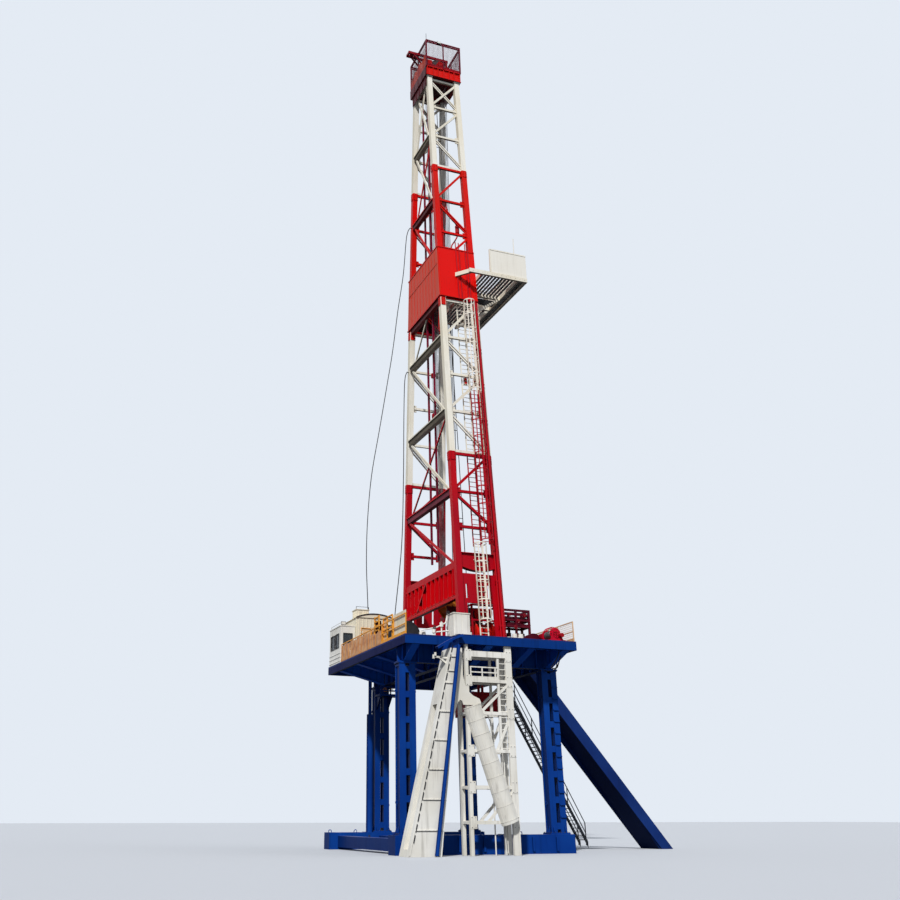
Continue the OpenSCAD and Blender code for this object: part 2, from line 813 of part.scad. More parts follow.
// The dog house stands beside the cabin with its doorway in the near end
module dog_house() {
    z0 = floor_z + seat;
    color(white)
    place()
    difference() {
        block([dog_x0, dog_y0, z0], [dog_x0 + dog_w, dog_y0 + dog_l, z0 + dog_h]);
        block([dog_x0 + wall_t, dog_y0 + wall_t, z0 + wall_t],
            [dog_x0 + dog_w - wall_t, dog_y0 + dog_l - wall_t, z0 + dog_h + 10]);
        block([door_x0, dog_y0 - 10, door_z0], [door_x0 + door_w, dog_y0 + wall_t + 10, door_z0 + door_h]);
    }
    color(white)
    place()
        hinge_knuckles(false);
}

module dog_house_roof() {
    z0 = floor_z + 2 * seat + dog_h;
    rise = 130;
    over = 30;
    r = (pow(dog_w / 2 + over, 2) + rise * rise) / (2 * rise);
    color(white)
    place()
        translate([dog_x0 + dog_w / 2, dog_y0 - over, z0])
            intersection() {
                translate([-dog_w / 2 - over, 0, 0]) cube([dog_w + 2 * over, dog_l + 2 * over, rise]);
                translate([0, dog_l + 2 * over, rise - r])
                    rotate([90, 0, 0]) cylinder(h = dog_l + 2 * over, r = r, $fn = 96);
            }
}

// Knuckles of the door's two hinges: the middle one on the door, the outer two on the wall
module hinge_knuckles(on_door) {
    r = 12;
    h = 60;
    for (z = [door_z0 + 180, door_z0 + door_h - 180])
        for (k = on_door ? [0] : [-1, 1]) {
            low = z + k * h - h / 2 + (k == 0 ? seat : 0);
            high = z + k * h + h / 2 - (k == 0 ? seat : 0);
            translate([hinge_x, hinge_y, low]) cylinder(h = high - low, r = r, $fn = 24);
            if (on_door)
                block([hinge_x, hinge_y - 4, low], [hinge_x + 60, hinge_y + 17, high]);
            else
                block([hinge_x - 60, hinge_y - 4, low], [hinge_x, hinge_y + 16, high]);
        }
}

module dog_house_door() {
    leaf_t = 20;
    color(tan_mesh)
    place() {
        block([door_x0 + door_gap, dog_y0 + 2, door_z0 + door_gap],
            [door_x0 + door_w - door_gap, dog_y0 + 2 + leaf_t, door_z0 + door_h - door_gap]);
        hinge_knuckles(true);
    }
}

// Window openings of the cabin as low and high corners, grown by e
module cabin_windows(depth, inset, e) {
    z0 = floor_z + seat + 480 - e;
    z1 = floor_z + seat + 910 + e;
    x0 = cab_x0;
    x1 = cab_x0 + cab_w;
    for (i = [0, 1])
        block([x0 + inset, cab_y0 + 150 + i * 450 - e, z0], [x0 + inset + depth, cab_y0 + 530 + i * 450 + e, z1]);
    block([x0 + 90 - e, cab_y0 + inset, z0], [x1 - 90 + e, cab_y0 + inset + depth, z1]);
}

module driller_cabin() {
    z0 = floor_z + seat;
    color(white)
    place()
    difference() {
        block([cab_x0, cab_y0, z0], [cab_x0 + cab_w, cab_y0 + cab_l, z0 + cab_h]);
        block([cab_x0 + wall_t, cab_y0 + wall_t, z0 + wall_t],
            [cab_x0 + cab_w - wall_t, cab_y0 + cab_l - wall_t, z0 + cab_h - wall_t]);
        cabin_windows(wall_t + 20, -10, 0);
    }
}

module cabin_glass() {
    color([0.1, 0.12, 0.15])
    place()
        cabin_windows(12, 14, -seat);
}

// Part of one side truss between two joint numbers: both legs, the level bars, gussets and bracing
module side_truss(sy, first, last) {
    up0 = first == 0 ? shoe_h / 2 : side_levels[first] + seat;
    up1 = last == top_level ? mast_h - cap_h / 2 : side_levels[last];
    for (sx = [-1, 1])
        post_bar(leg(sx, sy, up0), leg(sx, sy, up1), leg_w);
    for (i = [max(first, portal_levels) : last]) {
        up = side_levels[i] + (i == first ? lap : 0) - (i == last ? lap : 0);
        bar(leg(-1, sy, up), leg(1, sy, up), brace_w, brace_w);
        if (i > first && i < last)
            gussets(sy, up);
    }
    for (i = [max(first, portal_levels) : last - 1])
        side_brace(sy, i);
}

// The bracing of one bay: a bar that rises to the front in even bays, a bar or a pair that falls to it in odd ones
module side_brace(sy, i) {
    low = side_levels[i] + lap;
    high = side_levels[i + 1] - lap;
    if (i % 2 == 0 || i == top_level - 1)
        bar(leg(-1, sy, low), leg(1, sy, high), brace_w, brace_w);
    if (i % 2 == 1 && i < twin_from)
        bar(leg(1, sy, low), leg(-1, sy, high), brace_w, brace_w);
    if (i % 2 == 1 && i >= twin_from)
        for (shift = [0, twin_gap])
            bar(leg(1, sy, low + shift), leg(-1, sy, high - twin_gap + shift), twin_w, twin_w);
}

// Plates at a truss joint, on the inner side of both legs
module gussets(sy, up) {
    wide = 150;
    high = 250;
    for (sx = [-1, 1])
        translate(leg(sx, sy, up) - [sx * (leg_w / 2 + wide / 2 - 20), 0, 0])
            cube([wide, 24, high], center = true);
}

// A flat piece in the leaning plane of one side, drawn with X along the truss and Y up it
module side_plate(sy, t) {
    translate([0, sy * half_w(0), foot_z])
        rotate([sy * lean_w, 0, 0])
            translate([0, t / 2, 0])
                rotate([90, 0, 0])
                    linear_extrude(t)
                        children();
}

// The closed foot of one side: an arched beam over a slotted plate, and plates down the legs
module portal_plates(sy) {
    half = half_d(0) - leg_w / 2 + 20;
    step_n = 8;
    arch_top = 2760;
    arch_low = 2330;
    sag = 110;
    flange = 22;
    slot_h = 420;
    arc = [for (k = [-step_n : step_n]) [half * k / step_n, arch_low - sag * (1 - pow(k / step_n, 2))]];
    upper = [for (k = [len(arc) - 1 : -1 : 0]) arc[k] + [0, flange]];
    side_plate(sy, 50)
        polygon(concat(arc, [[half, arch_top], [-half, arch_top]]));
    side_plate(sy, 170)
        polygon(concat(arc, upper));
    side_plate(sy, 170)
        translate([-half, arch_top - flange]) square([2 * half, flange]);
    side_plate(sy, 36)
        difference() {
            translate([-half, 1260]) square([2 * half, 880]);
            for (x = [-430, -80, 270])
                translate([x, 1400]) square([60, slot_h]);
        }
    for (s = [-1, 1])
        side_plate(sy, 36)
            translate([s * (half - 75) - 75, 40]) square([150, 1230]);
}

// Shoes under the two legs of one side
module leg_shoes(sy) {
    half = leg_w / 2 + 60;
    for (sx = [-1, 1])
        translate([sx * half_d(0), sy * half_w(0), foot_z + seat])
            translate([-half, -half, 0]) cube([2 * half, 2 * half, shoe_h]);
}

// Caps on top of the two legs of one side
module leg_caps(sy) {
    half = leg_w / 2 + 30;
    for (sx = [-1, 1])
        translate([sx * half_d(mast_h), sy * half_w(mast_h), foot_z + mast_h - cap_h])
            translate([-half, -half, 0]) cube([2 * half, 2 * half, cap_h - seat]);
}

module near_truss_low() {
    color(deep_red)
    place() {
        side_truss(-1, 0, 5);
        portal_plates(-1);
        leg_shoes(-1);
    }
}

module near_truss_mid() { color(white) place() side_truss(-1, 5, 9); }
module near_truss_wind() { color(red) place() side_truss(-1, 9, 13); }

module near_truss_top() {
    color(white)
    place() {
        side_truss(-1, 13, top_level);
        leg_caps(-1);
    }
}

module far_truss_low() {
    color(deep_red)
    place() {
        side_truss(1, 0, 5);
        portal_plates(1);
        leg_shoes(1);
    }
}

module far_truss_mid() { color(white) place() side_truss(1, 5, 9); }
module far_truss_wind() { color(red) place() side_truss(1, 9, 13); }

module far_truss_top() {
    color(white)
    place() {
        side_truss(1, 13, top_level);
        leg_caps(1);
    }
}

// Clear half width between the legs at a height
function clear_w(up) = half_w(up) - leg_half - seat;

// Box girts of the back face at the given joint numbers, their ends cut to the lean of the legs
girt_t = girt_h * 0.7;
sink = -6;
module back_girts(levels) {
    for (i = levels) {
        low = side_levels[i] - girt_h / 2;
        high = min(side_levels[i] + girt_h / 2, mast_h - cap_h - seat);
        translate([-half_d(side_levels[i]) - girt_t / 2, 0, foot_z])
            rotate([90, 0, 90])
                linear_extrude(girt_t)
                    polygon([[-clear_w(low), low], [clear_w(low), low], [clear_w(high), high], [-clear_w(high), high]]);
    }
}

// A diagonal of the back face between two girts, from the leg on side s1 above to the one on side s0 below.
// d1 and d0 lift its ends off the girts, or sink them in, and off sets it in or out of the face.
module face_diagonal(i0, s0, d0, i1, s1, d1, w, off) {
    inset = 150;
    t = 40;
    low = side_levels[i0] + girt_h / 2 + d0;
    high = side_levels[i1] - girt_h / 2 - d1;
    y0 = s0 * (clear_w(low) - inset);
    y1 = s1 * (clear_w(high) - inset);
    half = w / 2 / sin(atan2(high - low, abs(y1 - y0)));
    translate([-half_d((low + high) / 2) + off - t / 2, 0, foot_z])
        rotate([90, 0, 90])
            linear_extrude(t)
                polygon([[y0 - half, low], [y0 + half, low], [y1 + half, high], [y1 - half, high]]);
}

module back_girts_low() {
    color(deep_red)
    place() {
        back_girts([2, 4]);
        face_diagonal(2, -1, sink, 4, 1, sink, brace_w, -30);
        face_diagonal(4, 1, sink, 6, -1, seat, tie_w, 30);
    }
}

module back_girts_mid() {
    color(white)
    place() {
        back_girts([6, 8]);
        face_diagonal(4, -1, seat, 6, 1, sink, brace_w, -30);
        face_diagonal(6, -1, sink, 8, 1, sink, brace_w, -30);
        face_diagonal(8, 1, sink, 9, 0.05, seat, tie_w, 30);
    }
}

module back_girts_wind() {
    color(red)
    place() {
        back_girts([9, 10, 12]);
        face_diagonal(10, -1, sink, 12, 1, sink, brace_w, -30);
        face_diagonal(12, 1, sink, 14, -1, seat, tie_w, 30);
    }
}

module back_girts_top() {
    color(white)
    place() {
        back_girts([14, top_level]);
        face_diagonal(12, -1, seat, 14, 1, sink, brace_w, -30);
        face_diagonal(14, -1, sink, top_level, 1, sink, brace_w, -30);
        face_diagonal(14, 1, sink, top_level, -1, sink, brace_w, -30);
    }
}

// The stiffened plate girder low on the back face
module panel_girder() {
    low = side_levels[1];
    high = side_levels[2] - girt_h / 2 - seat;
    chord = 130;
    t = 30;
    rib_t = 24;
    rib_out = 110;
    rib_pitch = 330;
    far_end = clear_w(low);
    face = -half_d(low);
    color(deep_red)
    place() {
        difference() {
            translate([face - t / 2, 0, foot_z])
                rotate([90, 0, 90])
                    linear_extrude(t)
                        polygon([[-clear_w(low), low], [clear_w(low), low], [clear_w(high), high], [-clear_w(high), high]]);
            // Openings between the ribs of the end beside the dog house
            for (i = [0 : 2])
                translate([face - t, far_end - 420 - i * rib_pitch, foot_z + high - 470])
                    cube([2 * t, rib_pitch - 110, 330]);
        }
        translate([face - girt_t / 2, 0, foot_z])
            rotate([90, 0, 90])
                linear_extrude(girt_t)
                    polygon([[-clear_w(low), low], [clear_w(low), low], [clear_w(low + chord), low + chord], [-clear_w(low + chord), low + chord]]);
        for (y = [-far_end + 150 : rib_pitch : far_end - 100])
            block([face - rib_out, y, foot_z + low + chord - 5], [face + t / 2 + 20, y + rib_t, foot_z + high]);
        // The slanting stiffener near the middle
        translate([face - rib_out + 10, 0, foot_z])
            rotate([90, 0, 90])
                linear_extrude(rib_out)
                    polygon([[160, high - 4], [240, high - 4], [1010, low + chord - 5], [930, low + chord - 5]]);
    }
}

// Three sheets round the mast at the height of the monkey board
module mast_windwall() {
    up0 = band_2 + 60;
    up1 = windwall_top;
    out = leg_half + seat;
    wide = half_d(up1) + leg_w / 2;
    rib = [30, 14];
    sheet_h = (up1 - up0) / cos(lean_w);
    half0 = half_w(up0) + leg_w / 2;
    half1 = half_w(up1) + leg_w / 2;
    back = -half_d(up0) - out - sheet_t;
    color(red)
    place()
    translate([0, 0, foot_z]) {
        for (s = [-1, 1])
            translate([0, s * (half_w(up0) + out), up0])
                rotate([s * lean_w, 0, 0]) {
                    translate([-wide, s > 0 ? 0 : -sheet_t, 0]) cube([2 * wide, sheet_t, sheet_h]);
                    // Ribs on the half of the sheet beside the monkey board
                    for (x = [0 : 145 : 590])
                        translate([x, s > 0 ? sheet_t - 4 : -sheet_t - rib[1] + 4, 30]) cube([rib[0], rib[1], sheet_h - 60]);
                }
        translate([back, 0, 0])
            rotate([90, 0, 90])
                linear_extrude(sheet_t)
                    polygon([[-half0, up0], [half0, up0], [half1, up1], [-half1, up1]]);
        // The joint between the two rows of sheets on the back
        block([back - 10, -half1 + 20, side_levels[10] - 25], [back + 4, half1 - 20, side_levels[10] + 25]);
        for (i = [-4 : 4])
            block([back - 8, i * 270 - 12, up0 + 40], [back + 4, i * 270 + 12, up1 - 40]);
    }
}

// The racking platform on the open side: an outer frame, a walkway and the fingers
module monkey_board() {
    z = foot_z + board_up;
    x0 = half_d(board_up) + leg_w / 2 + seat;
    x1 = half_d(board_up) + leg_w / 2 + board_reach;
    bar_w = board_bar;
    deep = 150;
    inner_x = x1 - 360;
    wrap_x = 220;
    wall_y = half_w(board_up) + leg_half + sheet_t + 20;
    color(white)
    place() {
        for (s = [-1, 1]) {
            block([wrap_x, s * board_half - bar_w / 2, z], [x1, s * board_half + bar_w / 2, z + deep]);
            block([x0, s * board_slot - bar_w / 2, z], [inner_x + 10, s * board_slot + bar_w / 2, z + deep]);
            // The end beam that turns in towards the sheets round the mast
            translate([0, 0, z])
                linear_extrude(deep)
                    polygon([[wrap_x, s * (board_half - 45)], [wrap_x + 130, s * (board_half - 45)],
                        [-10, s * wall_y], [-110, s * wall_y]]);
        }
        block([x1 - bar_w, -board_half, z], [x1, board_half, z + deep]);
        block([inner_x, -board_half, z], [inner_x + bar_w * 0.8, board_half, z + deep]);
        block([x0, -board_half, z], [x0 + bar_w, board_half, z + deep]);
        // Struts under the board from its outer edge back towards the legs
        for (s = [-1, 1])
            translate([0, s * (board_slot + 20) + 30, 0])
                rotate([90, 0, 0])
                    linear_extrude(60)
                        polygon([[x0, z - 900], [x0, z - 980], [x0 + 70, z - 980], [inner_x, z - 20], [inner_x, z + 10], [inner_x - 90, z + 10]]);
    }
}

// The fingers that the pipes stand between, one row on each side of the walkway
module board_fingers() {
    z = foot_z + board_up;
    x0 = half_d(board_up) + leg_w / 2 + seat + board_bar;
    x1 = half_d(board_up) + leg_w / 2 + board_reach;
    inner_x = x1 - 360;
    pitch = (inner_x - x0) / (finger_n + 1);
    y0 = board_slot + board_bar / 2 + seat;
    y1 = board_half - board_bar / 2 - seat;
    deck = 24;
    bar_n = 9;
    color(grey)
    place() {
        for (i = [1 : finger_n]) {
            block([x0 + i * pitch - 18, y0, z + 40], [x0 + i * pitch + 18, y1, z + 110]);
            block([x0 + i * pitch - 18, -y1, z + 40], [x0 + i * pitch + 18, -y0, z + 110]);
        }
        // The diving board between the racks and the walkway along the outer edge, as open gratings
        grating([x0 + seat, -200, z + 60], [inner_x - seat, 200, z + 60 + deck], bar_n, false);
        grating([inner_x + board_bar * 0.8 + seat, -y1, z + 60], [x1 - board_bar - seat, y1, z + 60 + deck], 6, true);
    }
}

// A grating: a frame and bars along X, or along Y
module grating(low, high, bar_n, along_y) {
    frame_w = 30;
    bar_t = 12;
    size = high - low;
    difference() {
        block(low, high);
        translate([frame_w, frame_w, -5]) block(low, high + [-2 * frame_w, -2 * frame_w, 10]);
    }
    for (i = [1 : bar_n])
        if (along_y)
            translate(low + [size[0] * i / (bar_n + 1) - bar_t / 2, 10, 2]) cube([bar_t, size[1] - 20, size[2] - 4]);
        else
            translate(low + [10, size[1] * i / (bar_n + 1) - bar_t / 2, 2]) cube([size[0] - 20, bar_t, size[2] - 4]);
    for (k = along_y ? [1 : 7] : [1 : 2])
        if (along_y)
            translate(low + [10, size[1] * k / 8 - 15, 4]) cube([size[0] - 20, 30, size[2] - 8]);
        else
            translate(low + [size[0] * k / 3 - 15, 10, 4]) cube([30, size[1] - 20, size[2] - 8]);
}

// Wind sheets round the outer part of the monkey board
module board_windbox() {
    z = foot_z + board_up + 150 + seat;
    x0 = half_d(board_up) + leg_w / 2 + 350;
    x1 = half_d(board_up) + leg_w / 2 + board_reach;
    h = 930;
    t = 30;
    mast_x = 2020;
    color(white)
    place() {
        for (s = [-1, 1]) {
            block([x0, s * board_half - t / 2, z], [x1 - t - seat, s * board_half + t / 2, z + h]);
            for (x = [x0 + 30 : 400 : x1 - 200])
                block([x, s * (board_half - t / 2) - 22, z + 30], [x + 30, s * (board_half - t / 2) + 22, z + h - 30]);
        }
        block([x1 - t, -board_half - t / 2, z], [x1, board_half + t / 2, z + h]);
        for (y = [-board_half + 200 : 500 : board_half - 100])
            block([x1 - t - 22, y, z + 30], [x1 - t + 10, y + 30, z + h - 30]);
        // The slim pole clamped to the near sheet
        translate([mast_x, -board_half + t / 2 + 14, z + 100]) cylinder(h = 1500, r = 16, $fn = 12);
    }
}

module crown_frame() {
    z = foot_z + mast_h;
    top = z + crown_beam;
    hx = half_d(mast_h) + crown_over;
    hy = half_w(mast_h) + crown_over;
    flange_w = 120;
    deck = 12;
    hole = [390, 420];
    axis_z = top + sheave_frame - 80;
    color(red)
    place() {
        for (s = [-1, 1]) {
            girder_x(-hx, hx, s * (hy - flange_w / 2), top, crown_beam, flange_w);
            girder_y(-hy + 5, hy - 5, s * (hx - flange_w / 2), top, crown_beam, flange_w);
            girder_x(-hx + 5, hx - 5, s * bearing_y, top, crown_beam, flange_w);
            girder_y(-hy + 5, hy - 5, s * cross_x, top, crown_beam, 100);
            for (sx = [-1, 1])
                bar([sx * 400, s * bearing_y, top - 10], [sx * 70, s * bearing_y, axis_z], 80, 90);
            translate([0, s * (bearing_y - 50) + (s < 0 ? -100 : 0), axis_z])
                rotate([-90, 0, 0]) cylinder(h = 100, r = 115, $fn = 32);
            for (x = [-240 : 240 : 240])
                block([x - 12, s * (hy - flange_w / 2) - flange_w / 2 + 4, z + 10], [x + 12, s * (hy - flange_w / 2) + flange_w / 2 - 4, top - 10]);
        }
        difference() {
            block([-hx + 5, -hy + 5, top - deck], [hx - 5, hy - 5, top]);
            block([-hole[0], -hole[1], top - 2 * deck], [hole[0], hole[1], top + deck]);
        }
    }
}

module crown_sheaves() {
    z = foot_z + mast_h + crown_beam + sheave_frame - 80;
    w = 90;
    color(steel)
    place()
        translate([0, 0, z])
            rotate([90, 0, 0]) {
                translate([0, 0, -430 + seat]) cylinder(h = 860 - 2 * seat, r = 60, $fn = 32);
                for (i = [0 : sheave_n - 1])
                    translate([0, 0, (i - (sheave_n - 1) / 2) * 120])
                        rotate_extrude($fn = 48)
                            polygon([[50, -w / 2], [110, -w / 2], [130, -18], [sheave_r - 60, -18], [sheave_r, -w / 2],
                                [groove_r, 0], [sheave_r, w / 2], [sheave_r - 60, 18], [130, 18], [110, w / 2], [50, w / 2]]);
            }
}

// A flat guard rail panel in the XZ plane, from x0 to x1
module rail_panel(x0, x1, h, w) {
    for (x = [x0, (x0 + x1 - w) / 2, x1 - w])
        translate([x, -w / 2, 0]) cube([w, w, h]);
    for (z = [h - 2 * w - 45, h - w])
        translate([x0, -w / 2, z]) cube([x1 - x0, w, w]);
}

module crown_railing() {
    w = 40;
    hx = half_d(mast_h) + crown_over;
    hy = half_w(mast_h) + crown_over;
    color(deep_red)
    place()
    translate([0, 0, foot_z + mast_h + crown_beam + seat])
        for (s = [-1, 1]) {
            translate([0, s * hy, 0]) rail_panel(-hx, hx, crown_rail, w);
            translate([s * (hx - w / 2), 0, 0]) rotate([0, 0, 90]) rail_panel(-hy + w / 2 + seat, hy - w / 2 - seat, crown_rail, w);
        }
}

module gin_pole() {
    deck_z = foot_z + mast_h + crown_beam;
    z = deck_z + gin_up;
    beam_y = 110;
    post = 70;
    end_x = 520;
    color(red)
    place() {
        for (s = [-1, 1]) {
            block([-gin_reach, s * beam_y - 30, z], [end_x, s * beam_y + 30, z + 110]);
            for (x = [-cross_x, cross_x])
                block([x - post / 2, s * beam_y - post / 2, deck_z + seat], [x + post / 2, s * beam_y + post / 2, z + 20]);
            side_cut(s * beam_y, 50)
                polygon([[-cross_x, deck_z + 440], [-cross_x, deck_z + 510], [-950, z + 10], [-1010, z + 10]]);
        }
        for (x = [-gin_reach, -gin_reach + 300, -cross_x - 30, cross_x - 30])
            block([x, -beam_y, z + 15], [x + 60, beam_y, z + 95]);
        // The small sheave between the tips of the two beams
        translate([-gin_reach + 180, 0, z + 55])
            rotate([90, 0, 0]) cylinder(h = 60, r = 90, center = true, $fn = 24);
        translate([-gin_reach + 180, 0, z + 55])
            rotate([90, 0, 0]) cylinder(h = 2 * beam_y, r = 18, center = true, $fn = 12);
    }
}

// The leaning plane of the near legs: X across, Y in from the leg centres and Z up along the legs
module near_face() {
    place()
        translate([0, -half_w(0), foot_z])
            rotate([-lean_w, 0, 0])
                children();
}

// A ladder in the leaning plane, its rails at y, held off the truss at some heights
module ladder(x, y, low, high, holds) {
    rail = 30;
    rung = 16;
    rung_n = floor((high - low) / 150);
    out = y < 0 ? -1 : 1;
    for (s = [-1, 1]) {
        translate([x + s * ladder_w / 2 - rail / 2, y - rail / 2, low]) cube([rail, rail, high - low]);
        for (up = holds)
            block([x + s * ladder_w / 2 - 10, min(y, out * (brace_w / 2 + 1.1)), up / cos(lean_w) - 8],
                [x + s * ladder_w / 2 + 10, max(y, out * (brace_w / 2 + 1.1)), up / cos(lean_w) + 8]);
    }
    for (i = [1 : rung_n])
        translate([x - ladder_w / 2, y - rung / 2, low + (i - 0.5) * (high - low) / rung_n]) cube([ladder_w, rung, rung]);
}

// The cage outside a ladder: hoops from rail to rail and straps up them
module ladder_cage(x, y, low, high) {
    ring_t = 10;
    strap = [10, 30];
    hoop_h = 32;
    centre = y - sqrt(cage_r * cage_r - ladder_w * ladder_w / 4);
    hoop_n = round((high - low) / 560);
    for (i = [0 : hoop_n])
        translate([x, centre, low + i * (high - low - hoop_h) / hoop_n])
            difference() {
                cylinder(h = hoop_h, r = cage_r + ring_t, $fn = 20);
                translate([0, 0, -1]) cylinder(h = hoop_h + 2, r = cage_r, $fn = 20);
                translate([-ladder_w / 2, 0, -1]) cube([ladder_w, cage_r + 2 * ring_t, hoop_h + 2]);
            }
    for (a = [180, 225, 270, 315, 0])
        translate([x, centre, low])
            rotate([0, 0, a])
                translate([cage_r - 4, -strap[1] / 2, 0]) cube([strap[0], strap[1], high - low]);
}

ladder_y = -leg_w / 2 - 60;
inner_x = 125;
inner_y = 150;
foot_ladder_h = 3000;

module white_ladder() {
    color(white)
    near_face() {
        ladder(0, ladder_y, -9.5, foot_ladder_h, [2550]);
        ladder_cage(0, ladder_y, 700, foot_ladder_h);
        ladder(inner_x, inner_y, side_levels[5] + 30, side_levels[9] - 20, [for (i = [6 : 8]) side_levels[i]]);
    }
}

module red_ladder() {
    low = foot_ladder_h + 40;
    color(deep_red)
    near_face() {
        ladder(260, ladder_y, low, side_levels[9] - 80, [for (i = [3, 4, 6, 7, 8]) side_levels[i]]);
        ladder_cage(260, ladder_y, low + 60, side_levels[9] - 80);
        ladder(inner_x, inner_y, low, side_levels[5] - 20, [side_levels[3], side_levels[4]]);
    }
}

// Pipes up the front near leg, clamped to it at the truss joints
module standpipes() {
    pipes = [[-20, 90, 12], [-112, 50, 8]];
    low = 100;
    high = 11600;
    out = leg_half + 70;
    clamp_n = 8;
    clamp = 40;
    color(deep_red)
    place() {
        for (p = pipes) {
            foot = leg(1, -1, low) + [p[0], -out, 0];
            rod(foot, leg(1, -1, high) + [p[0], -out, 0], p[1], p[2]);
            translate([foot[0], foot[1], foot_z + shoe_h + 2 * seat]) cylinder(h = low - shoe_h, d = p[1] + 30, $fn = p[2]);
        }
        for (i = [0 : clamp_n]) {
            up = low + 500 + i * (high - low - 1000) / clamp_n;
            c = leg(1, -1, up);
            block([c[0] - 150, c[1] - out - 20, c[2]], [c[0] + 40, c[1] - leg_half - seat, c[2] + clamp]);
        }
        // The bent top where the hose to the block is hung
        top = leg(1, -1, high) + [-20, -out, 0];
        rod(top - [0, 0, 20], top + [-60, 0, 120], 86, 12);
        rod(top + [-50, 0, 100], top + [-210, 0, 110], 84, 12);
        rod(top + [-190, 0, 115], top + [-270, 0, 40], 82, 12);
    }
}

// Two rails behind the well that guide the block, held to the girts of the back face
module guide_rails() {
    rail = 60;
    rail_x = -465;
    rail_y = 260;
    low = 2900;
    high = 21500;
    color(deep_red)
    place()
    for (s = [-1, 1]) {
        block([rail_x - rail / 2, s * rail_y - rail / 2, foot_z + low], [rail_x + rail / 2, s * rail_y + rail / 2, foot_z + high]);
        for (i = [4, 6, 8, 9, 10, 12, 14])
            block([-half_d(side_levels[i]) + girt_t / 2 + seat, s * rail_y - 45, foot_z + side_levels[i] - 50],
                [rail_x, s * rail_y + 45, foot_z + side_levels[i] + 50]);
    }
}

module travelling_block() {
    low = floor_z + hook_up;
    block_z = low + hook_h;
    cheek_t = 24;
    wheel_r = 250;
    wheel_z = block_z + block_h / 2 - 10;
    half_x = 290;
    half_y = block_w / 2;
    color(yellow)
    place() {
        for (s = [-1, 1])
            side_cut(s * (half_y - cheek_t / 2), cheek_t)
                polygon([[-120, block_z - 30], [120, block_z - 30], [half_x, block_z + 190], [half_x, block_z + block_h],
                    [-half_x, block_z + block_h], [-half_x, block_z + 190]]);
        // Guard plates over the sheaves and at both sides
        block([-half_x, -half_y, block_z + block_h - 40], [half_x, half_y, block_z + block_h]);
        for (s = [-1, 1])
            block([s * (half_x - 8) - 8, -half_y, block_z + 190], [s * (half_x - 8) + 8, half_y, block_z + block_h]);
        translate([0, 0, wheel_z])
            rotate([90, 0, 0]) {
                cylinder(h = block_w + 60, r = 50, center = true, $fn = 24);
                for (i = [-2.5 : 1 : 2.5])
                    translate([0, 0, i * 90]) cylinder(h = 56, r = wheel_r, center = true, $fn = 40);
            }
        // The yoke under the sheaves, the barrel and the hook
        block([-110, -half_y + 4, block_z - 30], [110, half_y - 4, block_z + 30]);
        translate([0, 0, low + 250]) cylinder(h = hook_h - 250, r = 110, $fn = 32);
        translate([0, 0, low + 200]) cylinder(h = 60, r = 75, $fn = 24);
        side_cut(0, 110)
            translate([0, low + 120])
                difference() {
                    circle(r = 120, $fn = 36);
                    circle(r = 62, $fn = 24);
                    polygon([[0, 0], [200, -10], [200, 110], [40, 60]]);
                }
    }
}

module drilling_lines() {
    z0 = floor_z + hook_up + hook_h + block_h + seat;
    z1 = foot_z + mast_h + crown_beam + sheave_frame - 80;
    top_x = groove_r + line_d / 2 + 5;
    color(grey)
    place()
    for (i = [0 : sheave_n - 1])
        for (s = [-1, 1])
            rod([s * 235, (i - (sheave_n - 1) / 2) * 90, z0], [s * top_x, (i - (sheave_n - 1) / 2) * 120, z1], line_d, 6);
}

// A slack cable through its points: rings of eight corners, square to the run
module cable(path, d) {
    n = len(path);
    k = 8;
    function run(i) = let (v = path[min(n - 1, i + 1)] - path[max(0, i - 1)]) v / norm(v);
    function side(i) = let (v = cross(run(i), [1, 0, 0])) v / norm(v);
    points = [for (i = [0 : n - 1]) let (a = side(i), b = cross(run(i), a)) for (j = [0 : k - 1])
        path[i] + d / 2 * (cos(360 * j / k) * a + sin(360 * j / k) * b)];
    sides = [for (i = [0 : n - 2]) for (j = [0 : k - 1])
        [i * k + j, i * k + (j + 1) % k, (i + 1) * k + (j + 1) % k, (i + 1) * k + j]];
    polyhedron(points, concat([[for (j = [k - 1 : -1 : 0]) j]], sides, [[for (j = [0 : k - 1]) (n - 1) * k + j]]), convexity = 4);
}

// Points on a smooth curve through hand-placed points, m to each span
function smooth(p, m) = concat([for (i = [0 : len(p) - 2]) for (k = [0 : m - 1])
    let (t = k / m, a = p[max(0, i - 1)], b = p[i], c = p[i + 1], d = p[min(len(p) - 1, i + 2)])
        0.5 * ((2 * b) + (c - a) * t + (2 * a - 5 * b + 4 * c - d) * t * t + (3 * b - a - 3 * c + d) * t * t * t)],
    [p[len(p) - 1]]);

long_path = smooth([[-686.2, 1090, 21290], [-705, 1090.4, 21290], [-750, 1091.4, 21290], [-805, 1190, 21150], [-820, 1330, 20800], [-830, 1630, 19500], [-880, 2080, 18200],
    [-960, 2420, 16700], [-1080, 2700, 15400], [-1250, 3060, 13700], [-1450, 3330, 12000], [-1600, 3300, 10300],
    [-1690, 3120, 8800], [-1700, 2940, 7500], [-1700, 2860, 6900], [-1700, 2860, 6820], [-1700, 2860, 6777.6]], 6);
short_path = smooth([[-702.3, 1510, 15400], [-721, 1510.4, 15400], [-765, 1511.4, 15400], [-798, 1600, 15250], [-800, 1690, 14800], [-800, 1770, 13600], [-800, 1860, 11400],
    [-800, 2076, 9180], [-800, 2700, 7124], [-820, 2910, 6200], [-845, 2965, 5600], [-860, 2910, 5330],
    [-870, 2810, 5272], [-880, 2700, 5265.6]], 6);

// The long cable from the top of the far rear leg to the dog house
module long_line() {
    color(grey) place() cable(long_path, 30);
}

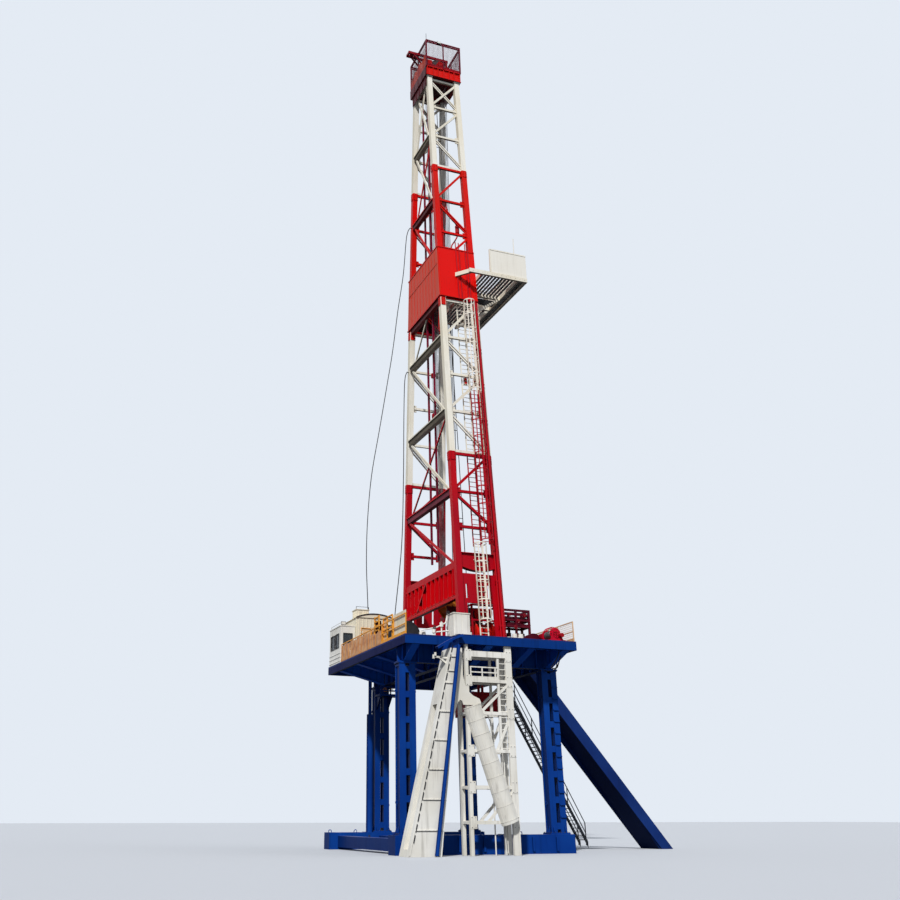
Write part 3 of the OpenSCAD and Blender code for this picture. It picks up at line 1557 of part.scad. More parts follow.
// The short cable from the middle of that leg to the floor behind the cabin
module short_line() {
    color(grey) place() cable(short_path, 30);
}

base_boxes();
base_spreaders();
rear_columns();
front_columns();
side_girders();
cross_girders();
floor_cantilevers();
edge_beams();
drill_floor();
rotary_table();
pipe_ramp();
ground_stairs();
stair_tower();
leaning_chute();
chute_hood();
flow_pipe();
service_platform();
hung_tank();
drawworks();
equipment_rack();
floor_winch();
white_cabinet();
rear_railing();
front_railing();
floor_windwall();
dog_house();
dog_house_roof();
dog_house_door();
driller_cabin();
cabin_glass();
near_truss_low();
near_truss_mid();
near_truss_wind();
near_truss_top();
far_truss_low();
far_truss_mid();
far_truss_wind();
far_truss_top();
back_girts_low();
back_girts_mid();
back_girts_wind();
back_girts_top();
panel_girder();
mast_windwall();
monkey_board();
board_fingers();
board_windbox();
crown_frame();
crown_sheaves();
crown_railing();
gin_pole();
white_ladder();
red_ladder();
standpipes();
guide_rails();
travelling_block();
drilling_lines();
long_line();
short_line();
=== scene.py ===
import json
import math
import bmesh
import bpy
from mathutils import Euler, Matrix, Vector


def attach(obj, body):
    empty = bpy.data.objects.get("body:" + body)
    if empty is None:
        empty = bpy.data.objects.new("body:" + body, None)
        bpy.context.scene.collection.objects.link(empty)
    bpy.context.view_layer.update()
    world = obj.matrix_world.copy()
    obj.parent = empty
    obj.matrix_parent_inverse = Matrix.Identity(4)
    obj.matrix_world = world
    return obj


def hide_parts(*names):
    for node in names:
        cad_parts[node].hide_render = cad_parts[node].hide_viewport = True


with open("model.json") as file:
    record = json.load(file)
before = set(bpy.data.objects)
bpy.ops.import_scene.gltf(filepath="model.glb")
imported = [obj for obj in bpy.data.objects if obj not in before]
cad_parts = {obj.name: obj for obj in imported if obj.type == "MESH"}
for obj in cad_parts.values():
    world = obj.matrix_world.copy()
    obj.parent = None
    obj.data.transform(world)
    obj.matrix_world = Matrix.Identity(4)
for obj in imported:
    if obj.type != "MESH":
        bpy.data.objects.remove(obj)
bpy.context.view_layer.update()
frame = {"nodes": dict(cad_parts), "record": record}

# Sizes shared with the part's source, in metres from the well centre at ground level
WELL = Vector((-1.87, 0.53, 0.0))
FLOOR = 5.25
MAST_H = 22.04
FOOT_WIDE, TOP_WIDE = 4.44, 1.31
FOOT_DEEP, TOP_DEEP = 1.27, 1.148
LEG = 0.19
LEVELS = [0.0, 1.39, 2.385, 3.57, 4.705, 6.0, 7.45, 8.8, 10.2, 11.7, 13.13, 14.56, 15.985, 17.55, 19.035,
          20.495, 21.98]
LEAN = math.atan((FOOT_WIDE - TOP_WIDE) / 2 / MAST_H)
# Half a leg's width, measured level across its lean
LEG_SIDE = LEG / 2 / math.cos(LEAN)
# The racking board over the floor, the top of the crown's beams, and the foot of what stands on the deck
BOARD_UP = 12.64
BOARD = FLOOR + BOARD_UP
CREST = FLOOR + MAST_H + 0.44
DECK = FLOOR + 0.0002

# Directions: the ramp is at the front, and the camera looks from the near side
UP = (0, 0, 1)
DOWN = (0, 0, -1)
FRONT = (1, 0, 0)
BACK = (-1, 0, 0)
FAR = (0, 1, 0)
NEAR = (0, -1, 0)
FULL = (1, 1, 1)
FLAT = Euler((0, 0, 0))


def at(x, y, z):
    """A point given from the well centre, as a place in the scene."""
    return Vector((x, y, z)) + WELL


def half_w(up):
    """Half the mast's width between leg centres, at a height over the floor."""
    return (FOOT_WIDE + (TOP_WIDE - FOOT_WIDE) * up / MAST_H) / 2


def half_d(up):
    """Half the mast's depth between leg centres, at a height over the floor."""
    return (FOOT_DEEP + (TOP_DEEP - FOOT_DEEP) * up / MAST_H) / 2


def leg(sx, sy, up):
    """The centre of a leg: sx is 1 at the front, sy is 1 on the far side."""
    return at(sx * half_d(up), sy * half_w(up), FLOOR + up)


# Half the depth and half the width of the guard rail round the crown
RAIL_DEEP = half_d(MAST_H) + 0.17
RAIL_WIDE = half_w(MAST_H) + 0.17


def tint(r, g, b):
    """A colour given as seen on a screen, 0 to 255, as Blender's linear colour."""
    parts = [((c / 255 + 0.055) / 1.055) ** 2.4 if c > 10 else c / 255 / 12.92 for c in (r, g, b)]
    return tuple(parts) + (1.0,)


# Camera at the place the photograph was taken from
camera_data = bpy.data.cameras.new("yard_camera")
camera = bpy.data.objects.new("yard_camera", camera_data)
bpy.context.collection.objects.link(camera)
camera.location = at(-12.375, -27.66, 0.85)
camera.rotation_euler = (math.radians(90 + 24.83), 0.0, math.radians(-20.29))
camera_data.sensor_width = 36.0
camera_data.lens = 38.426
camera_data.shift_x = 0.0717
camera_data.shift_y = -0.0854
camera_data.clip_end = 400.0
bpy.context.scene.camera = camera


# Node trees for repeated pieces
def tree_of(name, inputs):
    """A new tree with named inputs, each given by its label, kind and value."""
    tree = bpy.data.node_groups.new(name, "GeometryNodeTree")
    tree.interface.new_socket("Geometry", in_out="OUTPUT", socket_type="NodeSocketGeometry")
    tree.interface.new_socket("Geometry", in_out="INPUT", socket_type="NodeSocketGeometry")
    for label, kind, value in inputs:
        socket = tree.interface.new_socket(label, in_out="INPUT", socket_type="NodeSocket" + kind)
        if value is not None:
            socket.default_value = value
    return tree, tree.nodes.new("NodeGroupInput"), tree.nodes.new("NodeGroupOutput")


def finish_tree(tree, entry, last, out):
    """Turns instances into a plain mesh and gives it the material that the tree is handed."""
    realize = tree.nodes.new("GeometryNodeRealizeInstances")
    paint = tree.nodes.new("GeometryNodeSetMaterial")
    tree.links.new(last, realize.inputs[0])
    tree.links.new(realize.outputs[0], paint.inputs["Geometry"])
    tree.links.new(entry.outputs["Material"], paint.inputs["Material"])
    tree.links.new(paint.outputs[0], out.inputs[0])


def bar_tree():
    """Bars, tubes and wires: a profile run along every edge path."""
    tree, entry, out = tree_of("bars along paths", [
        ("Width", "Float", 0.02), ("Depth", "Float", 0.02), ("Round", "Bool", False),
        ("Corners", "Int", 8),
        ("Material", "Material", None)])
    links = tree.links
    curve = tree.nodes.new("GeometryNodeMeshToCurve")
    box = tree.nodes.new("GeometryNodeCurvePrimitiveQuadrilateral")
    ring = tree.nodes.new("GeometryNodeCurvePrimitiveCircle")
    half = tree.nodes.new("ShaderNodeMath")
    half.operation = "MULTIPLY"
    half.inputs[1].default_value = 0.5
    pick = tree.nodes.new("GeometryNodeSwitch")
    pick.input_type = "GEOMETRY"
    sweep = tree.nodes.new("GeometryNodeCurveToMesh")
    sweep.inputs["Fill Caps"].default_value = True
    smooth = tree.nodes.new("GeometryNodeSetShadeSmooth")
    links.new(entry.outputs["Geometry"], curve.inputs[0])
    links.new(entry.outputs["Width"], box.inputs["Width"])
    links.new(entry.outputs["Depth"], box.inputs["Height"])
    links.new(entry.outputs["Width"], half.inputs[0])
    links.new(half.outputs[0], ring.inputs["Radius"])
    links.new(entry.outputs["Corners"], ring.inputs["Resolution"])
    links.new(entry.outputs["Round"], pick.inputs[0])
    links.new(box.outputs[0], pick.inputs[1])
    links.new(ring.outputs[0], pick.inputs[2])
    links.new(curve.outputs[0], sweep.inputs["Curve"])
    links.new(pick.outputs[0], sweep.inputs["Profile Curve"])
    links.new(sweep.outputs[0], smooth.inputs["Geometry"])
    links.new(entry.outputs["Round"], smooth.inputs["Shade Smooth"])
    finish_tree(tree, entry, smooth.outputs[0], out)
    return tree


def set_out_tree():
    """One shape set out on points, turned and sized by the points' own attributes."""
    tree, entry, out = tree_of("shapes set out on points", [
        ("Shape", "Object", None), ("Scale", "Float", 1.0), ("Material", "Material", None)])
    links = tree.links
    shape = tree.nodes.new("GeometryNodeObjectInfo")
    spread = tree.nodes.new("GeometryNodeInstanceOnPoints")
    turn = tree.nodes.new("GeometryNodeInputNamedAttribute")
    turn.data_type = "FLOAT_VECTOR"
    turn.inputs["Name"].default_value = "turn"
    size = tree.nodes.new("GeometryNodeInputNamedAttribute")
    size.data_type = "FLOAT_VECTOR"
    size.inputs["Name"].default_value = "size"
    angle = tree.nodes.new("FunctionNodeEulerToRotation")
    scale = tree.nodes.new("ShaderNodeVectorMath")
    scale.operation = "SCALE"
    links.new(entry.outputs["Shape"], shape.inputs["Object"])
    links.new(entry.outputs["Geometry"], spread.inputs["Points"])
    links.new(shape.outputs["Geometry"], spread.inputs["Instance"])
    links.new(turn.outputs["Attribute"], angle.inputs[0])
    links.new(angle.outputs[0], spread.inputs["Rotation"])
    links.new(size.outputs["Attribute"], scale.inputs[0])
    links.new(entry.outputs["Scale"], scale.inputs["Scale"])
    links.new(scale.outputs[0], spread.inputs["Scale"])
    finish_tree(tree, entry, spread.outputs[0], out)
    return tree


BARS = bar_tree()
SET_OUT = set_out_tree()


def refinish(piece, finish):
    """Give a piece a finish of its own in place of its slot's."""
    for i in range(len(piece.data.materials)):
        piece.data.materials[i] = finish


def keep(name, mesh, slot, body="root"):
    """A finished piece: a plain mesh at the origin, on its body, with its finish."""
    piece = bpy.data.objects.new(name, mesh)
    mesh.name = name
    bpy.context.collection.objects.link(piece)
    if not mesh.materials:
        mesh.materials.append(FINISH[slot])
    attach(piece, body)
    return piece


def through_tree(name, mesh, tree, values, slot, body="root"):
    """Sends a mesh through a tree with its named inputs set, and keeps the plain result."""
    source = bpy.data.objects.new("source", mesh)
    bpy.context.collection.objects.link(source)
    change = source.modifiers.new("tree", "NODES")
    change.node_group = tree
    values = dict(values, Material=FINISH[slot])
    for item in tree.interface.items_tree:
        if item.in_out == "INPUT" and item.name in values:
            change[item.identifier] = values[item.name]
    source.update_tag()
    bpy.context.view_layer.update()
    result = bpy.data.meshes.new_from_object(source.evaluated_get(bpy.context.evaluated_depsgraph_get()))
    source.modifiers.clear()
    bpy.data.objects.remove(source)
    return keep(name, result, slot, body)


def bars(name, paths, width, slot, depth=None, round_=False, corners=8, body="root"):
    """Bars along paths; each path is a list of points."""
    mesh = bpy.data.meshes.new(name)
    points = []
    edges = []
    for path in paths:
        edges += [(len(points) + i, len(points) + i + 1) for i in range(len(path) - 1)]
        points += [Vector(p) for p in path]
    mesh.from_pydata(points, edges, [])
    values = {"Width": width, "Depth": depth or width, "Round": round_, "Corners": corners}
    return through_tree(name, mesh, BARS, values, slot, body)


def set_out(name, shape, places, slot, scale=1.0, body="root"):
    """A shape at many places; each place is a point, Euler angles and a size."""
    mesh = bpy.data.meshes.new(name)
    mesh.from_pydata([p[0] for p in places], [], [])
    for label, column in (("turn", 1), ("size", 2)):
        layer = mesh.attributes.new(label, "FLOAT_VECTOR", "POINT")
        for i, place in enumerate(places):
            layer.data[i].vector = place[column]
    return through_tree(name, mesh, SET_OUT, {"Shape": shape, "Scale": scale}, slot, body)


def shape_object(name, build):
    """A small shape kept out of the scene, for a tree to set out."""
    mesh = bpy.data.meshes.new(name)
    form = bmesh.new()
    build(form)
    bmesh.ops.recalc_face_normals(form, faces=form.faces)
    form.to_mesh(mesh)
    form.free()
    return bpy.data.objects.new(name, mesh)


def hex_bolt(form):
    bmesh.ops.create_cone(form, cap_ends=True, segments=6, radius1=1.0, radius2=0.94, depth=1.1,
                          matrix=Matrix.Translation((0, 0, 0.55)))


def eased_box(form):
    bmesh.ops.create_cube(form, size=1.0)
    bmesh.ops.bevel(form, geom=form.edges[:], offset=0.06, segments=1, affect="EDGES")


def sharp_box(form):
    bmesh.ops.create_cube(form, size=1.0)
    bmesh.ops.bevel(form, geom=form.edges[:], offset=0.012, segments=1, affect="EDGES")


def corner_plate(form):
    near = [form.verts.new((x, -0.5, z)) for x, z in ((0, 0), (1, 0), (1, 0.12), (0.12, 1), (0, 1))]
    far = [form.verts.new((v.co.x, 0.5, v.co.z)) for v in near]
    form.faces.new(near)
    form.faces.new(far[::-1])
    for i in range(5):
        form.faces.new((near[i], near[(i + 1) % 5], far[(i + 1) % 5], far[i]))


def rounded_drum(form):
    bmesh.ops.create_cone(form, cap_ends=True, segments=20, radius1=1.0, radius2=1.0, depth=1.0)
    rims = [e for e in form.edges if len({round(v.co.z, 3) for v in e.verts}) == 1]
    bmesh.ops.bevel(form, geom=rims, offset=0.06, segments=2, affect="EDGES")


BOLT = shape_object("hex_bolt", hex_bolt)
BLOCK = shape_object("eased_box", eased_box)
PLATE = shape_object("sharp_box", sharp_box)
GUSSET = shape_object("corner_plate", corner_plate)
DRUM = shape_object("rounded_drum", rounded_drum)


def facing(axis):
    """Euler angles that turn a shape's Z to an axis."""
    return Vector(axis).to_track_quat("Z", "Y").to_euler()


def fixing(point, axis):
    """The place of a bolt or wheel: its point, its turn to an axis, and its full size."""
    return point, facing(axis), FULL


def plates(name, boxes, slot, body="root"):
    """Plates with crisp edges, each given by its low and high corners from the well centre."""
    places = []
    for x0, y0, z0, x1, y1, z1 in boxes:
        middle = at((x0 + x1) / 2, (y0 + y1) / 2, (z0 + z1) / 2)
        places.append((middle, FLAT, (abs(x1 - x0), abs(y1 - y0), abs(z1 - z0))))
    return set_out(name, PLATE, places, slot, body=body)


def drums(name, items, slot):
    """Round housings and pipe stubs, each given by its middle, axis, radius and length."""
    places = [(at(*point), facing(axis), (radius, radius, long)) for point, axis, radius, long in items]
    set_out(name, DRUM, places, slot)


def studs(name, items, slot, size, body="root"):
    """Bolts, each given by its point from the well centre and its axis."""
    set_out(name, BOLT, [fixing(at(*point), axis) for point, axis in items], slot, scale=size, body=body)


def ring(middle, axis, radius, corners=16, start=0.0, sweep=2 * math.pi):
    """Points round an axis; a full sweep closes on itself."""
    turn = Vector(axis).to_track_quat("Z", "Y")
    angles = [start + sweep * k / corners for k in range(corners + 1)]
    return [at(*middle) + turn @ Vector((radius * math.cos(a), radius * math.sin(a), 0)) for a in angles]


def handwheels(name, items, slot):
    """Handwheels: a rim, two spokes across it and a stem, each given by its middle, axis and radius."""
    paths = []
    for middle, axis, radius in items:
        rim = ring(middle, axis, radius, 14)
        paths.append(rim)
        paths += [[rim[k], rim[k + 7]] for k in (0, 3)]
        paths.append([at(*middle), at(*middle) - Vector(axis) * radius * 0.9])
    bars(name, paths, 0.014, slot, round_=True, corners=6)


# Shader nodes
DUST = tint(176, 160, 138)
RUST = tint(92, 54, 38)


def add(tree, kind, ins=None, **settings):
    """A node with its settings, and its inputs given as values or as sockets to link."""
    made = tree.nodes.new(kind)
    for key, value in settings.items():
        setattr(made, key, value)
    for key, value in (ins or {}).items():
        if isinstance(value, bpy.types.NodeSocket):
            tree.links.new(value, made.inputs[key])
        else:
            made.inputs[key].default_value = value
    return made


def calc(tree, operation, a, b=0.0, clamp=False):
    return add(tree, "ShaderNodeMath", {0: a, 1: b}, operation=operation, use_clamp=clamp).outputs[0]


def blend(tree, factor, a, b):
    return add(tree, "ShaderNodeMix", {0: factor, 6: a, 7: b}, data_type="RGBA").outputs[2]


def span(tree, value, low, high, to_low=0.0, to_high=1.0):
    return add(tree, "ShaderNodeMapRange", {0: value, 1: low, 2: high, 3: to_low, 4: to_high}).outputs[0]


def noise(tree, coords, scale, detail=3.0, rough=0.55):
    values = {"Vector": coords, "Scale": scale, "Detail": detail, "Roughness": rough}
    return add(tree, "ShaderNodeTexNoise", values).outputs[0]


def stretched(tree, coords, scale):
    return add(tree, "ShaderNodeMapping", {"Vector": coords, "Scale": scale}).outputs[0]


def group_of(name, inputs, outputs):
    tree = bpy.data.node_groups.new(name, "ShaderNodeTree")
    for label, kind, value in inputs:
        tree.interface.new_socket(label, in_out="INPUT",
                                  socket_type="NodeSocket" + kind).default_value = value
    for label, kind in outputs:
        tree.interface.new_socket(label, in_out="OUTPUT", socket_type="NodeSocket" + kind)
    return tree, tree.nodes.new("NodeGroupInput").outputs, tree.nodes.new("NodeGroupOutput").inputs


def weathered_shaded_paint():
    """Site paint: sun-faded patches, rain streaks down the sides, dust on top, small chips, painted shade
    on undersides and painted light and shade on faces turned to the back.
    """
    tree, given, out = group_of("weathered and shaded paint", [
        ("Paint", "Color", (0.8, 0.8, 0.8, 1)), ("Faded", "Color", (0.8, 0.8, 0.8, 1)),
        ("Grime and shade", "Color", (0.1, 0.08, 0.06, 1)), ("Patch scale", "Float", 0.6),
        ("Streaks", "Float", 0.4),
        ("Dust", "Float", 0.4), ("Chips", "Float", 0.3), ("Gloss", "Float", 0.4),
        ("Underside shade", "Float", 0.0),
        ("Rear shading colour", "Color", (0.3, 0.2, 0.1, 1)), ("Rear shading share", "Float", 0.0)],
        [("Color", "Color"), ("Roughness", "Float"), ("Height", "Float")])
    coords = add(tree, "ShaderNodeTexCoord").outputs["Object"]
    normal = add(tree, "ShaderNodeNewGeometry").outputs["Normal"]
    front, _, up = add(tree, "ShaderNodeSeparateXYZ", {0: normal}).outputs
    side = calc(tree, "SUBTRACT", 1.0, calc(tree, "ABSOLUTE", up))
    patch = span(tree, noise(tree, coords, given["Patch scale"], 4.0), 0.36, 0.68)
    fine = noise(tree, coords, 38.0, 2.0)
    colour = blend(tree, patch, given["Paint"], given["Faded"])
    # Painted light and shade: faces turned to the back take a colour of their own for the light they get
    back = calc(tree, "MULTIPLY", span(tree, front, -0.5, -0.9), given["Rear shading share"])
    colour = blend(tree, back, colour, given["Rear shading colour"])
    # Painted shade: undersides turn towards the grime colour, as if they stood in shade
    under = calc(tree, "MULTIPLY", span(tree, up, -0.35, -0.7), given["Underside shade"])
    colour = blend(tree, under, colour, given["Grime and shade"])
    rain = span(tree, noise(tree, stretched(tree, coords, (9.0, 9.0, 0.55)), 1.0, 4.0, 0.65), 0.54, 0.76)
    rain = calc(tree, "MULTIPLY", calc(tree, "MULTIPLY", rain, side), given["Streaks"])
    colour = blend(tree, rain, colour, given["Grime and shade"])
    dust = calc(tree, "MULTIPLY", span(tree, up, 0.55, 0.95),
                span(tree, noise(tree, coords, 2.4), 0.3, 0.7, 0.4, 1.0))
    dust = calc(tree, "MULTIPLY", dust, given["Dust"])
    colour = blend(tree, dust, colour, DUST)
    chips = span(tree, noise(tree, coords, 17.0, 6.0, 0.7), 0.70, 0.73)
    chips = calc(tree, "MULTIPLY", chips, given["Chips"])
    colour = blend(tree, chips, colour, RUST)
    rough = calc(tree, "ADD", given["Gloss"], calc(tree, "MULTIPLY", dust, 0.4))
    rough = calc(tree, "ADD", rough, calc(tree, "MULTIPLY", calc(tree, "ADD", patch, fine), 0.07))
    rough = calc(tree, "ADD", rough, calc(tree, "MULTIPLY", calc(tree, "ADD", chips, rain), 0.25),
                 clamp=True)
    height = calc(tree, "SUBTRACT", calc(tree, "MULTIPLY", fine, 0.12),
                  calc(tree, "MULTIPLY", chips, 0.6))
    for label, value in (("Color", colour), ("Roughness", rough), ("Height", height)):
        tree.links.new(value, out[label])
    return tree


def tread_plate():
    """Raised bars of a non-slip plate, turned a quarter from one to the next."""
    tree, given, out = group_of("tread plate", [("Pitch", "Float", 0.05)], [("Height", "Float")])
    coords = add(tree, "ShaderNodeTexCoord").outputs["Object"]
    density = calc(tree, "DIVIDE", 1.0, given["Pitch"])
    cells = add(tree, "ShaderNodeVectorMath", {0: coords, "Scale": density}, operation="SCALE").outputs[0]
    x, y, _ = add(tree, "ShaderNodeSeparateXYZ", {0: cells}).outputs
    odd = calc(tree, "FLOORED_MODULO", calc(tree, "ADD", calc(tree, "FLOOR", x), calc(tree, "FLOOR", y)),
               2.0)
    fx = calc(tree, "SUBTRACT", calc(tree, "FRACT", x), 0.5)
    fy = calc(tree, "SUBTRACT", calc(tree, "FRACT", y), 0.5)
    along = calc(tree, "ABSOLUTE", calc(tree, "ADD", fx, fy))
    across = calc(tree, "ABSOLUTE", calc(tree, "SUBTRACT", fx, fy))
    a = add(tree, "ShaderNodeMix", {0: odd, 2: along, 3: across}).outputs[0]
    b = add(tree, "ShaderNodeMix", {0: odd, 2: across, 3: along}).outputs[0]
    rise = calc(tree, "MULTIPLY", span(tree, a, 0.40, 0.46, 1.0, 0.0),
                span(tree, b, 0.08, 0.14, 1.0, 0.0))
    tree.links.new(rise, out["Height"])
    return tree


def rope_lay():
    """The twisted strands of a steel rope that runs up and down, with grease between them."""
    tree, given, out = group_of("rope lay", [("Pitch", "Float", 0.03)],
                                [("Height", "Float"), ("Grease", "Float")])
    x, y, z = add(tree, "ShaderNodeSeparateXYZ",
                  {0: add(tree, "ShaderNodeTexCoord").outputs["Object"]}).outputs
    turn = calc(tree, "ADD", calc(tree, "MULTIPLY", calc(tree, "ADD", x, y), 1.4), z)
    wave = calc(tree, "SINE", calc(tree, "MULTIPLY", calc(tree, "DIVIDE", turn, given["Pitch"]), 6.2832))
    tree.links.new(calc(tree, "ABSOLUTE", wave), out["Height"])
    tree.links.new(span(tree, calc(tree, "ABSOLUTE", wave), 0.0, 0.55, 1.0, 0.0), out["Grease"])
    return tree


WEATHER_AND_SHADE = weathered_shaded_paint()
TREAD = tread_plate()
ROPE = rope_lay()


def material(name):
    made = bpy.data.materials.new(name)
    made.use_nodes = True
    return made, made.node_tree, made.node_tree.nodes["Principled BSDF"]


def painted(name, paint, faded, grime_and_shade=(58, 44, 36), patch=0.6, streaks=0.35, dust=0.35, chips=0.3,
            gloss=0.36, tread=None, shine=0.12, under=0.7, back=(0, 0, 0), rear_shading_share=0.0):
    """Site paint in its own colours, with painted shade on undersides; tread is the pitch of a non-slip
    plate, back the colour painted on faces turned to the back for the light and shade they get.
    """
    made, tree, surface = material(name)
    weathering_and_shade = add(tree, "ShaderNodeGroup", node_tree=WEATHER_AND_SHADE)
    values = {"Paint": tint(*paint), "Faded": tint(*faded), "Grime and shade": tint(*grime_and_shade), "Patch scale": patch,
              "Streaks": streaks, "Dust": dust, "Chips": chips, "Gloss": gloss, "Underside shade": under,
              "Rear shading colour": tint(*back), "Rear shading share": rear_shading_share}
    for label, value in values.items():
        weathering_and_shade.inputs[label].default_value = value
    height = weathering_and_shade.outputs["Height"]
    if tread:
        plate = add(tree, "ShaderNodeGroup", node_tree=TREAD)
        plate.inputs["Pitch"].default_value = tread
        height = calc(tree, "ADD", height, plate.outputs["Height"])
    bump = add(tree, "ShaderNodeBump", {"Height": height, "Strength": 0.25, "Distance": 0.004})
    tree.links.new(weathering_and_shade.outputs["Color"], surface.inputs["Base Color"])
    tree.links.new(weathering_and_shade.outputs["Roughness"], surface.inputs["Roughness"])
    tree.links.new(bump.outputs[0], surface.inputs["Normal"])
    surface.inputs["Specular IOR Level"].default_value = shine
    return made


def bare_metal(name, colour, dark, gloss, metal=0.9, rope=None):
    """Greased or worn metal; as a rope it takes the lay of its strands."""
    made, tree, surface = material(name)
    coords = add(tree, "ShaderNodeTexCoord").outputs["Object"]
    patch = span(tree, noise(tree, coords, 5.0, 5.0, 0.7), 0.35, 0.7)
    grain = noise(tree, stretched(tree, coords, (60.0, 6.0, 60.0)), 1.0, 2.0)
    height = calc(tree, "MULTIPLY", grain, 0.2)
    if rope:
        strands = add(tree, "ShaderNodeGroup", node_tree=ROPE)
        strands.inputs["Pitch"].default_value = rope
        patch = calc(tree, "MAXIMUM", patch, strands.outputs["Grease"])
        height = calc(tree, "ADD", height, strands.outputs["Height"])
    bump = add(tree, "ShaderNodeBump", {"Height": height, "Strength": 0.35, "Distance": 0.003})
    tree.links.new(blend(tree, patch, tint(*colour), tint(*dark)), surface.inputs["Base Color"])
    tree.links.new(span(tree, patch, 0.0, 1.0, gloss, gloss + 0.3), surface.inputs["Roughness"])
    tree.links.new(bump.outputs[0], surface.inputs["Normal"])
    surface.inputs["Metallic"].default_value = metal
    return made


def tinted_glass(name):
    """Dark cabin glass with dusty smears."""
    made, tree, surface = material(name)
    coords = add(tree, "ShaderNodeTexCoord").outputs["Object"]
    smear = span(tree, noise(tree, coords, 3.0, 5.0), 0.4, 0.75)
    tree.links.new(blend(tree, smear, tint(42, 52, 60), tint(86, 90, 90)), surface.inputs["Base Color"])
    tree.links.new(span(tree, smear, 0.0, 1.0, 0.05, 0.3), surface.inputs["Roughness"])
    surface.inputs["Alpha"].default_value = 0.72
    return made


def cable_jacket(name):
    """Black rubber with pale dust in patches."""
    made, tree, surface = material(name)
    coords = add(tree, "ShaderNodeTexCoord").outputs["Object"]
    dusty = span(tree, noise(tree, coords, 7.0, 4.0), 0.4, 0.75)
    bump = add(tree, "ShaderNodeBump",
               {"Height": noise(tree, coords, 90.0, 2.0), "Strength": 0.2, "Distance": 0.001})
    tree.links.new(blend(tree, dusty, tint(24, 24, 27), tint(66, 62, 58)), surface.inputs["Base Color"])
    tree.links.new(span(tree, dusty, 0.0, 1.0, 0.5, 0.85), surface.inputs["Roughness"])
    tree.links.new(bump.outputs[0], surface.inputs["Normal"])
    return made


# Fresh and faded paints that more than one finish takes
BLUE = (10, 54, 134), (18, 70, 154)
CRIMSON = (188, 4, 22), (160, 6, 30)
TOWER = (244, 241, 233), (224, 219, 206)
BAND_WHITE = (244, 238, 226), (238, 224, 208)
LADDER_BAND = 13.36
CHUTE_BAND = 4.87

# A finish for each material slot of the solids, each with its painted shade on undersides and painted light
# and shade on rear faces
FINISH = {
    "structure_blue": painted("structure_blue", *BLUE, grime_and_shade=(6, 14, 34), patch=0.5, streaks=0.3,
                              dust=0.2, chips=0.35, under=0.9, back=(8, 34, 88), rear_shading_share=0.8, shine=0.05),
    "deck_navy": painted("deck_navy", (10, 38, 98), (20, 52, 118), grime_and_shade=(8, 14, 34), patch=0.8, dust=0.5,
                         gloss=0.5, tread=0.045),
    "mast_crimson": painted("mast_crimson", *CRIMSON, grime_and_shade=(46, 4, 16), patch=0.45, streaks=0.3,
                            gloss=0.4, back=(196, 3, 18), rear_shading_share=0.9, under=0.9, dust=0.15),
    "mast_red": painted("mast_red", (226, 6, 4), (212, 24, 12), grime_and_shade=(56, 4, 8), patch=0.35, streaks=0.2,
                        gloss=0.36, back=(190, 30, 20), rear_shading_share=0.6, under=0.9),
    "mast_white": painted("mast_white", (246, 242, 230), (236, 226, 204), grime_and_shade=(64, 50, 36), patch=0.6,
                          streaks=0.25, chips=0.3, back=(226, 214, 186), rear_shading_share=0.5, under=0.8),
    "tower_white": painted("tower_white", *TOWER, grime_and_shade=(84, 72, 58), patch=0.8, streaks=0.45, dust=0.4),
    "rail_yellow": painted("rail_yellow", (242, 154, 34), (240, 172, 70), grime_and_shade=(120, 74, 30), patch=1.2,
                           gloss=0.42),
    "panel_tan": painted("panel_tan", (222, 178, 130), (236, 202, 158), grime_and_shade=(140, 92, 58), patch=1.4,
                         gloss=0.5),
    "house_white": painted("house_white", (242, 233, 210), (226, 214, 186), grime_and_shade=(110, 88, 60),
                           patch=0.9, streaks=0.4),
    "house_glass": tinted_glass("house_glass"),
    "machine_red": painted("machine_red", (138, 6, 22), (164, 16, 28), grime_and_shade=(30, 6, 10), patch=1.5,
                           dust=0.3, gloss=0.4),
    "machine_grey": painted("machine_grey", (42, 42, 46), (60, 60, 63), grime_and_shade=(18, 16, 16), patch=1.4,
                            dust=0.4, gloss=0.45),
    "sheave_steel": bare_metal("sheave_steel", (120, 116, 114), (52, 44, 42), 0.34),
    "wire_rope": bare_metal("wire_rope", (112, 112, 114), (44, 42, 40), 0.35, 0.8, rope=0.028),
    "cable_black": cable_jacket("cable_black"),
    "block_orange": painted("block_orange", (200, 108, 22), (216, 136, 48), grime_and_shade=(56, 34, 18), patch=2.0,
                            chips=0.7, gloss=0.35),
    "stair_grey": bare_metal("stair_grey", (96, 99, 106), (54, 56, 62), 0.42, 0.6),
}

# Finishes of single pieces, some with painted shade for standing in shade and some with painted light
# The windwall's rear faces are painted a duller orange red: partly dust, partly a painted sheen of grazing
# light
WINDWALL = painted("windwall_red", (232, 6, 3), (226, 16, 8), grime_and_shade=(60, 6, 8), patch=0.5, streaks=0.12,
                   chips=0.15, gloss=0.34, back=(204, 66, 38), rear_shading_share=0.95, under=0.9)
SHADED_MAROON = painted("shaded_maroon", (84, 8, 20), (66, 6, 18), grime_and_shade=(26, 4, 8), patch=1.0,
                        streaks=0.3, dust=0.1)
